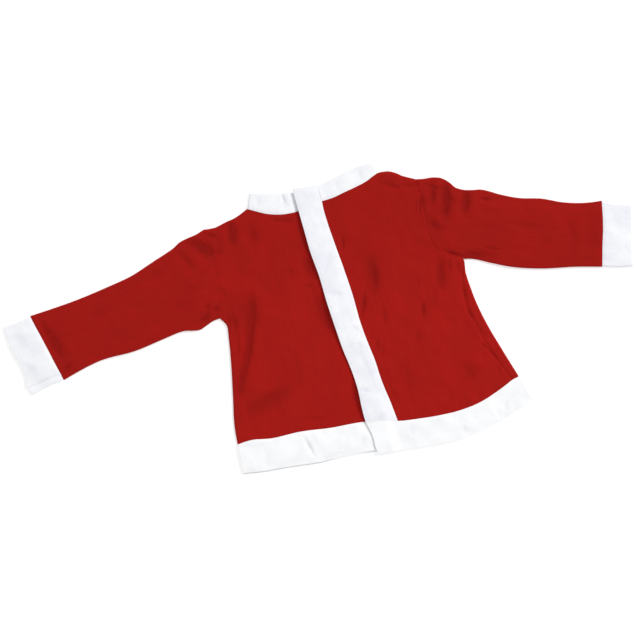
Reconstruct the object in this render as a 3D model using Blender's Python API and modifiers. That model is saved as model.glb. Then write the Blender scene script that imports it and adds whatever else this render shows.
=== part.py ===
"""A baby's red jacket with white trim, laid flat and closed on its back.

Each cut piece of cloth is one solid wall. Tables are in millimetres in the pattern frame: x runs across
the jacket towards the wearer's left sleeve, y runs up the front towards the neck, and z is the height over
the surface that the jacket lies on. "Right" and "left" are the wearer's. The finished part has its origin
under the middle of its bounding box.
"""

import math

import bmesh
import bpy
import numpy as np

MM = 0.001

# Walls, and the gap that each seam keeps between two pieces.
CLOTH = 1.2
TRIM = 1.5
SEAM = 0.3

# Layers. The bottom layer lies on the surface and the top layer rests over it. Down the closed front the
# placket and the hem's front end are a third layer, which lies over the right front.
TOP_LAYER = 3.0
LOWEST_TOP_LAYER = 2.6
LAP_WIDTH = 17.0
LAP_PLAY = 1.0
LAP_DIP = 0.45
LAP_DIP_RUN = 9.0
LAP_RISE = 1.5
LAP_RISE_RUN = 12.0
EDGE_DIP = 0.8
EDGE_DIP_RUN = 6.0
FADE_RUN = 11.0

# The box's middle in the pattern frame.
BOX_MIDDLE_X = -19.5
BOX_MIDDLE_Y = -29.68

# How finely each piece is divided, and how often a grid's inner points are evened out.
SMOOTH_ROUNDS = 8
POINTS_A_CELL = 40
OUTLINE_CELLS = 24
LEVEL_CELLS = 60
ARMHOLE_ROWS = 12
SIDE_ROWS = 16
SHOULDER_COLUMNS = 6
NECK_COLUMNS = 11
FRONT_COLUMNS = SHOULDER_COLUMNS + NECK_COLUMNS
SLEEVE_ROWS = 22
CUFF_ROWS = 4
ROLL_CELLS = 4
COLLAR_ROWS = 3
PLACKET_COLUMNS = 4
HEM_ROWS = 4
WRAP_COLUMNS = 2


def table(names, *rows):
    """A short table as one array for each named column."""
    return dict(zip(names.split(), np.array(rows, float).T))


# Shoulder seams, from the armhole to the neck.
SHOULDER_RIGHT = table("x y", (-118, 92.6), (-108, 91.6), (-97, 93.3), (-86, 96.1), (-72, 102.6))
SHOULDER_LEFT = table("x y", (98, 87.6), (86, 93.6), (75.7, 100.8), (69, 103), (62, 104.5))

# Armhole seams, from the shoulder to the underarm.
ARMHOLE_RIGHT = table("x y", (-118, 92.6), (-117.4, 70), (-118, 46), (-120.5, 26), (-126, 5))
ARMHOLE_LEFT = table(
    "x y",
    (98, 87.6), (98.4, 66), (96.8, 45), (96.4, 25), (99.5, 14.5), (108, 8.6), (117, 5), (122, 2.2),
    (124.6, -2.2),
)

# Side edges, from the underarm to the hem seam. The left side's seam has rolled round to the front.
SIDE_RIGHT = table(
    "x y",
    (-126, 5), (-121.2, -4), (-122, -16), (-127.4, -44.6), (-134.7, -74), (-140.4, -106),
    (-142.6, -124.3),
)
SIDE_LEFT = table("x y", (124.6, -2.2), (123.6, -18), (126.6, -45), (133, -73), (139.2, -95), (148.4, -131.8))
SIDE_SEAM_LEFT = table(
    "x y",
    (124.6, -2.2), (117.2, -20), (114.6, -44), (117.4, -62), (123.4, -88), (139.6, -132.6),
)

# Collar band: the neck seam and the upper edge. The right half ends under the placket.
NECK_RIGHT = table(
    "x y",
    (-72, 102.6), (-64, 99.8), (-57.3, 95.1), (-46, 90.6), (-36, 89), (-23, 88), (-5.8, 89),
)
NECK_LEFT = table(
    "x y",
    (62, 104.5), (57.8, 103.2), (49.5, 99.6), (38.2, 96.4), (27.3, 94.1), (11.1, 91.9), (1.9, 91.6),
)
COLLAR_RIGHT = table("x y", (-66.5, 115), (-51, 111.6), (-35.3, 108), (-22.7, 106), (-5, 104.4))
COLLAR_LEFT = table(
    "x y",
    (60.4, 112.2), (56.2, 113.3), (48, 113.4), (37.3, 112.2), (26.3, 109.9), (15.4, 107.7),
    (2.4, 105.6),
)

# Placket: where its two edges run at each level down the front.
PLACKET = table(
    "level free_edge sewn_edge",
    (107.5, -22.8, 2.2), (88, -23.6, 2), (66, -23.8, 2.9), (45, -23, 4.4), (20, -20.5, 6.2), (-8, -19.8, 8.2),
    (-35, -18.3, 8.7), (-56, -16.9, 9.8), (-76, -14, 12.2), (-100, -12.5, 14.6), (-118, -13.2, 16.5),
    (-138, -13.4, 18.4),
)

# Hem band: its seam and its lower edge, from the right side to the front end, and from there to the left
# side.
HEM_SEAM_RIGHT = table(
    "x y",
    (-142.6, -124.3), (-129.4, -124), (-109, -126.3), (-78.5, -127.4), (-48.5, -130.9), (-13.2, -134.4),
    (5, -138.2),
)
HEM_EDGE_RIGHT = table(
    "x y",
    (-144, -151.2), (-127, -154), (-97, -156.9), (-65, -160.4), (-41, -161.2), (-7.6, -163.8),
    (8, -166.2),
)
HEM_SEAM_LEFT = table(
    "x y",
    (-13.2, -134.4), (5, -138.2), (18.4, -141.6), (40.5, -146.2), (61, -148), (81.4, -148.1),
    (102.8, -145.4), (125.3, -139.2), (139.6, -132.6), (148.4, -131.8),
)
HEM_EDGE_LEFT = table(
    "x y",
    (-8.6, -167.6), (13.6, -169.6), (43.7, -173.2), (63, -174.5), (82.7, -173.8), (106.8, -169.6),
    (129, -163.8), (154.2, -155.2),
)

# Sleeves: the upper and the lower fold, from the armhole to the cuff seam, and the cuffs' outer edges.
SLEEVE_RIGHT_UPPER = table(
    "x y",
    (-118, 92.6), (-126, 90.6), (-134, 90), (-143, 88.6), (-155, 82), (-168.5, 78), (-180, 73.2),
    (-200, 68), (-227.6, 62.6), (-261.7, 58.8), (-293, 56), (-308.6, 53.7),
)
SLEEVE_RIGHT_LOWER = table(
    "x y",
    (-126, 5), (-135.5, 4), (-148, -0.7), (-166, 2), (-184.4, -0.4), (-216.7, -5.1), (-253, -6),
    (-280.6, -11.6), (-296.2, -15.6),
)
CUFF_RIGHT_UPPER = table("x y", (-308.6, 53.7), (-322, 52.4), (-337.6, 49.2))
CUFF_RIGHT_LOWER = table("x y", (-296.2, -15.6), (-308, -17), (-318, -19.4), (-327, -21.2))
CUFF_RIGHT_OUTER = table(
    "x y",
    (-337.6, 49.2), (-335.9, 33), (-331.5, 13), (-329.4, -2), (-330.4, -13), (-327, -21.2),
)
CUFF_RIGHT_SEAM = table("x y", (-308.6, 53.7), (-302.4, 23), (-296.2, -15.6))
SLEEVE_LEFT_UPPER = table(
    "x y",
    (98, 87.6), (107.7, 85.8), (117.7, 84.2), (126, 79), (130, 74), (134, 68.4), (145, 62.4),
    (157.8, 59.6), (173, 51), (191, 42), (215.4, 35), (231.7, 26.8), (262.6, 18.2), (273.2, 18),
)
SLEEVE_LEFT_LOWER = table(
    "x y",
    (125.6, -1.2), (132, -2.4), (149, -12), (167, -22.4), (195.6, -31.2), (230, -38.4), (255.6, -46.6),
)
CUFF_LEFT_UPPER = table("x y", (273.2, 18), (285.7, 11.6), (298.6, 6))
CUFF_LEFT_LOWER = table("x y", (255.6, -46.6), (270, -49.4), (285, -52.6))
CUFF_LEFT_OUTER = table("x y", (298.6, 6), (293.8, -12.5), (288, -36.7), (285, -52.6))
CUFF_LEFT_SEAM = table("x y", (273.2, 18), (268.2, -5.6), (262, -27), (255.6, -46.6))

# Air under the top layer, as broad soft mounds, and the folds that run through it. angle is the fold's
# direction in degrees from +x, and a negative height is a trough.
MOUNDS = table(
    "x y angle length width height",
    (-72, -10, 82, 200, 90, 1.3),
    (62, -30, 100, 210, 90, 1.3),
    (-215, 35, 10, 190, 60, 1.5),
    (190, 12, -22, 180, 66, 1.6),
    (-140, 45, 80, 70, 40, 0.7),
    (112, 40, 90, 70, 34, 0.9),
)
FOLDS = table(
    "x y angle length width height",
    # right sleeve head
    (-128, 77, -49, 32, 10, -2.8),
    (-137, 68, -61, 35, 12, 0.8),
    (-112, 60, -26, 28, 12, 0.5),
    (-94, 84, 76, 26, 8, -2.2),
    (-75, 78, 78, 22, 10, -1.1),
    (-101, 81, 78, 24, 8, 0.4),
    (-83, 77, 77, 31, 10, 0.5),
    # right underarm and sleeve
    (-136, 14, 39, 30, 12, 0.8),
    (-143, 24, 47, 32, 12, 0.6),
    # right front
    (-97, -2, 72, 42, 9, -2),
    (-108, -31, 67, 40, 7, -2.3),
    (-120, -57, 64, 40, 8, -2),
    (-114, -29, 73, 55, 9, 0.6),
    (-87, -9, 72, 66, 16, 0.6),
    (-107, -59, 67, 53, 15, 0.5),
    (-102, -89, 16, 51, 14, -1.7),
    (-83, -98, 21, 49, 16, 0.5),
    (-49, 36, 79, 72, 20, 0.5),
    # left sleeve head
    (120, 59, 73, 35, 8, -3.1),
    (117, 63, 73, 31, 7, 0.9),
    (109, 68, 72, 22, 7, -1.9),
    (105, 69, 75, 24, 7, 0.5),
    (132, 56, 69, 33, 11, 1.1),
    (139, 53, 68, 26, 8, -1.8),
    (149, 50, 66, 27, 10, 0.5),
    (103, 38, -76, 23, 12, -1.1),
    # left underarm
    (110, 22, -53, 25, 10, 0.7),
    (140, 6, -15, 33, 9, 0.8),
    (96, -11, 77, 31, 9, -1.8),
    (89, -10, 78, 40, 12, 0.5),
    (109, -11, 77, 29, 8, 0.5),
    # left front
    (30, 5, 82, 38, 12, -1.6),
    (43, -3, 78, 42, 16, 0.5),
    (41, -48, 82, 55, 20, 0.4),
    (70, -87, -89, 57, 18, 0.5),
    (99, -110, -75, 18, 14, -1),
)
# Where the placket's free edge stands off the front.
PLACKET_LIFT = table("level length height", (52, 70, 0.5), (-22, 46, 1.6), (-118, 44, 1.2))

RED = (0.330, 0.012, 0.009, 1.0)
WHITE = (0.90, 0.90, 0.93, 1.0)


def smooth_step(value):
    """0 below 0, 1 above 1, and a soft S between."""
    value = np.clip(value, 0.0, 1.0)
    return value * value * (3.0 - 2.0 * value)


def points_of(columns):
    return np.column_stack([columns["x"], columns["y"]])


def curve(points, cells):
    """cells + 1 points, evenly far apart, on a smooth curve through the given points."""
    points = np.asarray(points, float)
    step = np.linalg.norm(np.diff(points, axis=0), axis=1)
    along = np.concatenate([[0.0], np.cumsum(step)])
    slope = np.gradient(points, along, axis=0)
    fine = np.linspace(0.0, along[-1], POINTS_A_CELL * cells + 1)
    span = np.clip(np.searchsorted(along, fine, "right") - 1, 0, len(along) - 2)
    length = step[span][:, None]
    t = ((fine - along[span]) / step[span])[:, None]
    dense = (
        points[span] * (2 * t**3 - 3 * t**2 + 1)
        + slope[span] * length * (t**3 - 2 * t**2 + t)
        + points[span + 1] * (3 * t**2 - 2 * t**3)
        + slope[span + 1] * length * (t**3 - t**2)
    )
    run = np.concatenate([[0.0], np.cumsum(np.linalg.norm(np.diff(dense, axis=0), axis=1))])
    even = np.linspace(0.0, run[-1], cells + 1)
    return np.column_stack([np.interp(even, run, dense[:, axis]) for axis in (0, 1)])


def joined(*runs):
    """Curves end to end, with the points that they share kept once."""
    return np.concatenate([runs[0]] + [run[1:] for run in runs[1:]])


def patch(first_row, last_row, first_column, last_column):
    """A grid of points filled in between four border curves (a Coons patch)."""
    v = np.linspace(0.0, 1.0, len(first_column))[:, None, None]
    u = np.linspace(0.0, 1.0, len(first_row))[None, :, None]
    rows = (1 - v) * first_row[None] + v * last_row[None]
    columns = (1 - u) * first_column[:, None] + u * last_column[:, None]
    corners = (1 - v) * ((1 - u) * first_row[0] + u * first_row[-1]) + v * (
        (1 - u) * last_row[0] + u * last_row[-1]
    )
    grid = rows + columns - corners
    for _ in range(SMOOTH_ROUNDS):
        around = grid[:-2, 1:-1] + grid[2:, 1:-1] + grid[1:-1, :-2] + grid[1:-1, 2:]
        grid[1:-1, 1:-1] = 0.25 * around
    return grid


def band(first_row, last_row, cells):
    """The grid of a band that runs between two lines and has straight ends."""
    ends = [np.linspace(first_row[index], last_row[index], cells + 1) for index in (0, -1)]
    return patch(first_row, last_row, *ends)


def pulled_in(grid, sides):
    """The grid with the named borders moved in by half a seam's gap."""
    result = grid.copy()
    borders = {
        "first_row": (np.s_[0, :], np.s_[1, :]),
        "last_row": (np.s_[-1, :], np.s_[-2, :]),
        "first_column": (np.s_[:, 0], np.s_[:, 1]),
        "last_column": (np.s_[:, -1], np.s_[:, -2]),
    }
    for side in sides.split():
        border, inner = borders[side]
        tangent = np.gradient(grid[border], axis=0)
        normal = np.column_stack([-tangent[:, 1], tangent[:, 0]])
        normal /= np.linalg.norm(normal, axis=1)[:, None]
        inward = np.sign((normal * (grid[inner] - grid[border])).sum(axis=1))
        result[border] += 0.5 * SEAM * normal * inward[:, None]
    return result


def pulled_in_ring(border):
    """A closed line of plan points, clockwise, moved in by half a seam's gap."""
    before, after = np.roll(border, 1, axis=0), np.roll(border, -1, axis=0)
    steps = [border - before, after - border]
    normals = [np.column_stack([step[:, 1], -step[:, 0]]) for step in steps]
    normals = [normal / np.linalg.norm(normal, axis=1)[:, None] for normal in normals]
    share = 1.0 + (normals[0] * normals[1]).sum(axis=1)
    return border + 0.5 * SEAM * (normals[0] + normals[1]) / share[:, None]


def distance_to(plan, line):
    """How far each plan point is from a line of points."""
    start, end = line[:-1], line[1:]
    side = end - start
    reach = plan[..., None, :] - start
    share = np.clip((reach * side).sum(-1) / (side**2).sum(-1), 0.0, 1.0)
    return np.linalg.norm(reach - share[..., None] * side, axis=-1).min(axis=-1)


def swell(plan, rows):
    """The sum of the table's mounds or folds at each plan point."""
    total = np.zeros(plan.shape[:-1])
    for x, y, angle, length, width, height in zip(*rows.values()):
        turn = math.radians(angle)
        east, north = plan[..., 0] - x, plan[..., 1] - y
        along = (east * math.cos(turn) + north * math.sin(turn)) / (0.5 * length)
        across = (north * math.cos(turn) - east * math.sin(turn)) / (0.5 * width)
        total += height * np.exp(-(along**4) - across**2)
    return total


def placket_edge(level, name):
    return np.interp(-level, -PLACKET["level"], PLACKET[name])


def placket_line(name, first_level, last_level, cells):
    """A smooth line down one edge of the placket, with its points on even levels."""
    line = curve(np.column_stack([PLACKET[name], PLACKET["level"]]), LEVEL_CELLS)
    levels = np.linspace(first_level, last_level, cells + 1)
    return np.column_stack([np.interp(-levels, -line[:, 1], line[:, 0]), levels])


def outline():
    """The lines where the flat jacket's two layers meet: shoulders, sides and both folds of each sleeve."""
    lines = (SHOULDER_RIGHT, SHOULDER_LEFT, SIDE_RIGHT, SIDE_LEFT)
    lines += (SLEEVE_RIGHT_UPPER, SLEEVE_RIGHT_LOWER, SLEEVE_LEFT_UPPER, SLEEVE_LEFT_LOWER)
    lines += (CUFF_RIGHT_UPPER, CUFF_RIGHT_LOWER, CUFF_LEFT_UPPER, CUFF_LEFT_LOWER)
    return [curve(points_of(line), OUTLINE_CELLS) for line in lines]


OUTLINE = outline()


def relief(plan):
    """Mounds and folds, which fade out where the two layers meet."""
    inside = np.min([distance_to(plan, line) for line in OUTLINE], axis=0)
    return smooth_step(inside / FADE_RUN) * (swell(plan, MOUNDS) + swell(plan, FOLDS))


def top_height(plan):
    """Middle of the top layer's wall."""
    return np.maximum(TOP_LAYER + relief(plan), LOWEST_TOP_LAYER)


def under_lap(plan):
    """Middle of a top wall that dips to pass under the placket."""
    past = plan[..., 0] - placket_edge(plan[..., 1], "free_edge")
    return top_height(plan) - LAP_DIP * smooth_step(1.0 + (past - LAP_PLAY) / LAP_DIP_RUN)


def over_lap(plan):
    """Middle of a top wall that lies over the right front, and comes down past that front's hidden edge."""
    past = plan[..., 0] - placket_edge(plan[..., 1], "free_edge") - LAP_WIDTH
    return top_height(plan) + LAP_RISE * smooth_step(1.0 - (past - LAP_PLAY) / LAP_RISE_RUN)


def edge_dip(plan, *lines):
    """How far a top panel comes down to the back where they meet at a seam."""
    near = np.min([distance_to(plan, curve(points_of(line), OUTLINE_CELLS)) for line in lines], axis=0)
    return EDGE_DIP * (1.0 - smooth_step(near / EDGE_DIP_RUN))


def body_side(armhole, side):
    """The line down a body panel: its armhole, then its side."""
    return joined(curve(points_of(armhole), ARMHOLE_ROWS), curve(points_of(side), SIDE_ROWS))


def neck_seams():
    """The right and the left half of the neck seam, each from the shoulder to its front end."""
    return curve(points_of(NECK_RIGHT), NECK_COLUMNS), curve(points_of(NECK_LEFT), NECK_COLUMNS)


def left_hem_seam():
    """From the front end, under the placket, along the left front, and over the side's rolled edge."""
    seam = points_of(HEM_SEAM_LEFT)
    return joined(
        curve(seam[:3], PLACKET_COLUMNS),
        curve(seam[2:-1], FRONT_COLUMNS),
        curve(seam[-2:], WRAP_COLUMNS),
    )


def whole_hem_seam():
    """From the right side to the left side, for the back."""
    right = curve(points_of(HEM_SEAM_RIGHT)[:-1], FRONT_COLUMNS)
    return joined(right, left_hem_seam())


def grid_faces(rows, columns, first=0):
    """Quads of a grid of points that is numbered row by row."""
    faces = []
    for row in range(rows - 1):
        for low in range(first + row * columns, first + (row + 1) * columns - 1):
            faces.append((low, low + 1, low + columns + 1, low + columns))
    return faces


def finish(jacket, name, points, faces, thickness, material):
    """Makes one piece of cloth: its middle surface, with a wall raised on both sides of it."""
    placed = np.asarray(points, float) - (BOX_MIDDLE_X, BOX_MIDDLE_Y, 0.0)
    mesh = bpy.data.meshes.new(name)
    mesh.from_pydata([tuple(point) for point in placed * MM], [], faces)
    surface = bmesh.new()
    surface.from_mesh(mesh)
    bmesh.ops.recalc_face_normals(surface, faces=surface.faces)
    surface.to_mesh(mesh)
    surface.free()
    mesh.materials.append(material)
    mesh.shade_smooth()
    piece = bpy.data.objects.new(name, mesh)
    jacket.objects.link(piece)
    wall = piece.modifiers.new("cloth", "SOLIDIFY")
    wall.thickness = thickness * MM
    wall.offset = 0.0
    wall.use_even_offset = True
    wall.use_quality_normals = True
    return piece


def panel(jacket, name, plan, height, thickness, material):
    """A flat-cut panel: a plan grid and the height of its wall's middle."""
    points = np.concatenate([plan, height[..., None]], axis=-1)
    faces = grid_faces(plan.shape[0], plan.shape[1])
    return finish(jacket, name, points.reshape(-1, 3), faces, thickness, material)


def roll(edge, inner, thickness):
    """Points round a fold at a plan line's end, from the under layer up to the top layer."""
    low = 0.5 * thickness
    radius = 0.5 * (TOP_LAYER - low)
    inward = (inner - edge) / np.linalg.norm(inner - edge)
    centre = edge + inward * (radius + 0.5 * thickness + SEAM)
    rolled = []
    for angle in np.radians(np.linspace(-90.0, 90.0, ROLL_CELLS + 1)):
        plan = centre - inward * radius * math.cos(angle)
        rolled.append((plan[0], plan[1], low + radius * (1.0 + math.sin(angle))))
    return rolled


def at_height(plan, height):
    """Plan points with their heights, as a list of points."""
    return [(x, y, z) for (x, y), z in zip(plan, np.broadcast_to(height, len(plan)))]


def flat_tube(jacket, name, plan, thickness, material):
    """A sleeve or cuff pressed flat: an upper layer with a fold along each side, and a flat under layer."""
    rows = []
    for line in plan:
        row = roll(line[0], line[1], thickness)
        row += at_height(line[1:-1], top_height(line[1:-1]))
        row += roll(line[-1], line[-2], thickness)[::-1]
        rows.append(row)
    count, width = len(rows), len(rows[0])
    points = sum(rows, [])
    faces = grid_faces(count, width)
    first_end = range(len(points), len(points) + len(plan[0]) - 2)
    last_end = range(first_end.stop, first_end.stop + len(plan[0]) - 2)
    points += at_height(plan[0][1:-1], 0.5 * thickness) + at_height(plan[-1][1:-1], 0.5 * thickness)
    upper_side = [row * width for row in range(count)]
    lower_side = [row * width + width - 1 for row in range(count)]
    faces.append(upper_side + list(last_end) + lower_side[::-1] + list(first_end)[::-1])
    return finish(jacket, name, points, faces, thickness, material)


def make_back(jacket, red):
    """The back lies on the surface. Below the left underarm it turns over the edge to the rolled side seam."""
    right, left = body_side(ARMHOLE_RIGHT, SIDE_RIGHT), body_side(ARMHOLE_LEFT, SIDE_LEFT)
    neck_right, neck_left = neck_seams()
    top = joined(
        curve(points_of(SHOULDER_RIGHT), SHOULDER_COLUMNS),
        joined(neck_right[:-1], neck_left[::-1]),
        curve(points_of(SHOULDER_LEFT)[::-1], SHOULDER_COLUMNS),
    )
    border = joined(top, left, whole_hem_seam()[::-1], right[::-1])[:-1]
    plan = pulled_in_ring(border)
    first_wrapped = len(top) + ARMHOLE_ROWS
    last_wrapped = len(top) + len(left) - 2
    seam = body_side(ARMHOLE_LEFT, SIDE_SEAM_LEFT)[ARMHOLE_ROWS + 1 :]
    seam[-1] = left_hem_seam()[-1 - WRAP_COLUMNS]

    points = at_height(plan, 0.5 * CLOTH)
    faces = [list(range(len(points)))]
    first, width = len(points), ROLL_CELLS + WRAP_COLUMNS
    wrapped = range(first_wrapped, last_wrapped + 1)
    for index, inner in zip(wrapped, seam):
        edge = plan[index]
        hem_gap = edge[1] - border[index][1]
        inner = inner + (0.5 * SEAM, hem_gap)
        rolled = roll(edge, inner, CLOTH)
        over = np.linspace(edge, inner, WRAP_COLUMNS + 1)[1:]
        points[index] = rolled[0]
        points += rolled[1:] + at_height(over, top_height(over))
    rows = len(wrapped)
    faces += grid_faces(rows, width, first)
    for row in range(rows - 1):
        start = first + row * width
        edge = first_wrapped + row
        faces.append((edge, start, start + width, edge + 1))
    return finish(jacket, "back", points, faces, CLOTH, red)


def make_fronts(jacket, red):
    """The right front runs on under the placket. The left front starts at the placket's seam."""
    rows = ARMHOLE_ROWS + SIDE_ROWS
    every_side = "first_row last_row first_column last_column"
    neck_right, neck_left = neck_seams()

    top = joined(curve(points_of(SHOULDER_RIGHT), SHOULDER_COLUMNS), neck_right)
    hem = curve(points_of(HEM_SEAM_RIGHT), FRONT_COLUMNS)
    hidden = placket_line("free_edge", top[-1, 1], hem[-1, 1], rows) + (LAP_WIDTH, 0.0)
    hidden[0], hidden[-1] = top[-1], hem[-1]
    plan = pulled_in(patch(top, hem, body_side(ARMHOLE_RIGHT, SIDE_RIGHT), hidden), every_side)
    height = under_lap(plan) - edge_dip(plan, SIDE_RIGHT, SHOULDER_RIGHT)
    panel(jacket, "front_right", plan, height, CLOTH, red)

    top = joined(curve(points_of(SHOULDER_LEFT), SHOULDER_COLUMNS), neck_left)
    hem = left_hem_seam()[PLACKET_COLUMNS : PLACKET_COLUMNS + FRONT_COLUMNS + 1][::-1]
    sewn = placket_line("sewn_edge", top[-1, 1], hem[-1, 1], rows)
    sewn[0], sewn[-1] = top[-1], hem[-1]
    plan = pulled_in(patch(top, hem, body_side(ARMHOLE_LEFT, SIDE_SEAM_LEFT), sewn), every_side)
    height = over_lap(plan) - edge_dip(plan, SHOULDER_LEFT)
    panel(jacket, "front_left", plan, height, CLOTH, red)


def make_sleeves(jacket, red):
    """Each sleeve is one tube from its armhole seam to its cuff."""
    sides = (
        ("right", ARMHOLE_RIGHT, CUFF_RIGHT_SEAM, SLEEVE_RIGHT_UPPER, SLEEVE_RIGHT_LOWER),
        ("left", ARMHOLE_LEFT, CUFF_LEFT_SEAM, SLEEVE_LEFT_UPPER, SLEEVE_LEFT_LOWER),
    )
    for side, armhole, cuff_seam, upper, lower in sides:
        head = curve(points_of(armhole), ARMHOLE_ROWS)
        head[-1] = points_of(lower)[0]
        plan = patch(
            head,
            curve(points_of(cuff_seam), ARMHOLE_ROWS),
            curve(points_of(upper), SLEEVE_ROWS),
            curve(points_of(lower), SLEEVE_ROWS),
        )
        flat_tube(jacket, "sleeve_" + side, pulled_in(plan, "first_row last_row"), CLOTH, red)


def make_cuffs(jacket, white):
    """Each cuff is a ring of fleece on the sleeve's end."""
    sides = (
        ("right", CUFF_RIGHT_SEAM, CUFF_RIGHT_OUTER, CUFF_RIGHT_UPPER, CUFF_RIGHT_LOWER),
        ("left", CUFF_LEFT_SEAM, CUFF_LEFT_OUTER, CUFF_LEFT_UPPER, CUFF_LEFT_LOWER),
    )
    for side, seam, outer, upper, lower in sides:
        plan = patch(
            curve(points_of(seam), ARMHOLE_ROWS),
            curve(points_of(outer), ARMHOLE_ROWS),
            curve(points_of(upper), CUFF_ROWS),
            curve(points_of(lower), CUFF_ROWS),
        )
        flat_tube(jacket, "cuff_" + side, pulled_in(plan, "first_row"), TRIM, white)


def make_collar(jacket, white):
    """One band round the neck: left front, fold, back, fold and right front, which ends under the placket."""
    neck_right, neck_left = neck_seams()
    edge_right = curve(points_of(COLLAR_RIGHT), NECK_COLUMNS)
    edge_left = curve(points_of(COLLAR_LEFT), NECK_COLUMNS)
    right = band(neck_right, edge_right, COLLAR_ROWS)
    left = band(neck_left, edge_left, COLLAR_ROWS)
    left = pulled_in(left, "first_row last_column")
    right = pulled_in(right, "first_row")
    rows = []
    for left_line, right_line in zip(left, right):
        front_left, front_right = left_line[1:][::-1], right_line[1:]
        row = at_height(front_left, over_lap(front_left))
        row += roll(left_line[0], left_line[1], TRIM)[::-1]
        behind = joined(left_line[1:-1], right_line[1:-1][::-1])
        row += at_height(behind, 0.5 * TRIM)
        row += roll(right_line[0], right_line[1], TRIM)
        row += at_height(front_right, under_lap(front_right))
        rows.append(row)
    faces = grid_faces(len(rows), len(rows[0]))
    return finish(jacket, "collar", sum(rows, []), faces, TRIM, white)


def make_placket(jacket, white):
    """The band on the left front's edge. It lies over the right front, and its free edge lifts in places."""
    rows = ARMHOLE_ROWS + SIDE_ROWS
    neck_end = points_of(NECK_LEFT)[-1]
    collar_end = points_of(COLLAR_LEFT)[-1]
    bottom = left_hem_seam()[: PLACKET_COLUMNS + 1]
    sewn = placket_line("sewn_edge", neck_end[1], bottom[-1, 1], rows)
    sewn[0], sewn[-1] = neck_end, bottom[-1]
    sewn = joined(np.linspace(collar_end, neck_end, COLLAR_ROWS + 1), sewn)
    free = placket_line("free_edge", PLACKET["level"][0], bottom[0, 1], len(sewn) - 1)
    free[-1] = bottom[0]
    top = np.linspace(free[0], sewn[0], PLACKET_COLUMNS + 1)
    plan = pulled_in(patch(top, bottom, free, sewn), "last_row last_column")
    height = over_lap(plan)
    for level, length, lift in zip(*PLACKET_LIFT.values()):
        along = (plan[..., 1] - level) / (0.5 * length)
        share = 1.0 - np.linspace(0.0, 1.0, PLACKET_COLUMNS + 1)
        height += lift * np.exp(-(along**4)) * smooth_step(share)
    panel(jacket, "placket", plan, height, TRIM, white)


def make_hem(jacket, white):
    """The hem band, one length on each panel. The left front's length ends over the right front's."""
    seam = curve(points_of(HEM_SEAM_RIGHT), FRONT_COLUMNS)
    edge = curve(points_of(HEM_EDGE_RIGHT), FRONT_COLUMNS)
    plan = pulled_in(band(seam, edge, HEM_ROWS), "first_row")
    panel(jacket, "hem_front_right", plan, under_lap(plan), TRIM, white)

    seam = left_hem_seam()
    edge = curve(points_of(HEM_EDGE_LEFT), len(seam) - 1)
    plan = pulled_in(band(seam, edge, HEM_ROWS), "first_row")
    panel(jacket, "hem_front_left", plan, over_lap(plan), TRIM, white)

    seam = whole_hem_seam()
    edge = np.concatenate([points_of(HEM_EDGE_RIGHT)[:-2], points_of(HEM_EDGE_LEFT)[1:]])
    plan = pulled_in(band(seam, curve(edge, len(seam) - 1), 1), "first_row")
    panel(jacket, "hem_back", plan, np.full(plan.shape[:2], 0.5 * TRIM), TRIM, white)


def cloth_material(name, colour, roughness):
    material = bpy.data.materials.new(name)
    material.use_nodes = True
    shader = material.node_tree.nodes["Principled BSDF"]
    shader.inputs["Base Color"].default_value = colour
    shader.inputs["Roughness"].default_value = roughness
    shader.inputs["Metallic"].default_value = 0.0
    return material


def main():
    for stale in list(bpy.data.objects):
        bpy.data.objects.remove(stale, do_unlink=True)
    jacket = bpy.data.collections.new("santa_jacket")
    bpy.context.scene.collection.children.link(jacket)
    red = cloth_material("red_jersey", RED, 0.9)
    white = cloth_material("white_fleece", WHITE, 0.95)
    make_back(jacket, red)
    make_fronts(jacket, red)
    make_sleeves(jacket, red)
    make_cuffs(jacket, white)
    make_collar(jacket, white)
    make_placket(jacket, white)
    make_hem(jacket, white)


main()
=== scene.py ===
# %% [markdown]
# # A baby's santa jacket, laid flat
#
# The real jacket is cut from fine red cotton jersey. Its neck, front edge, cuffs and hem are bound
# with bands of brushed white fleece. It lies closed on its back, so most of it is two layers of cloth
# on each other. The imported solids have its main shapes, and could be given a material as they are,
# but their faces are too large for creases and seams. So this script dresses them: each solid wall is
# replaced by a finer shell of cloth, with creases, seams, stitches and a finish of its own.

# %% The frame
import math

import bmesh
import bpy
import numpy as np
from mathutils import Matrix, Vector


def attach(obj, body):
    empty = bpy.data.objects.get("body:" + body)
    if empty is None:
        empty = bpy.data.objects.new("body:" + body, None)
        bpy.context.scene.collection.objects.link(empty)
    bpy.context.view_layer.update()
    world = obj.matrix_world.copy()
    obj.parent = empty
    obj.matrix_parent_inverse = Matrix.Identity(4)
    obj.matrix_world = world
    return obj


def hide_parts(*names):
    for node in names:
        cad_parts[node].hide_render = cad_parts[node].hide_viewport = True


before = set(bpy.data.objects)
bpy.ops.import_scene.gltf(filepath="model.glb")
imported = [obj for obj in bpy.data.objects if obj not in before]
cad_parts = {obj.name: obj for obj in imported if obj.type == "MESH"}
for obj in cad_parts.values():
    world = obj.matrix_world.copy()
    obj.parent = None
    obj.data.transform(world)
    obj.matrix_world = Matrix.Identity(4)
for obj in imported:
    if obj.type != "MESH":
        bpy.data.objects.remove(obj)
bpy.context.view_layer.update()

MM = 0.001
bpy.ops.object.select_all(action="DESELECT")

# %% [markdown]
# ## The pattern
#
# A garment starts as a paper pattern, and so does this one: a few points for each seam and edge, in
# millimetres. x runs across the jacket to the wearer's left sleeve, and y runs up to the neck. The
# outline could be pulled into shape by eye instead, but a point that is written down can be measured
# again and corrected alone. The solids were made from such lines too. These were measured once more
# and differ from theirs by about 3 mm at most, so each piece of cloth still lands on its own solid.
#
# The placket is a table with one named column for each value, because its two edges are read at the
# same levels. BOX_MIDDLE is the middle of the solids' box in the pattern's frame.

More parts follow.
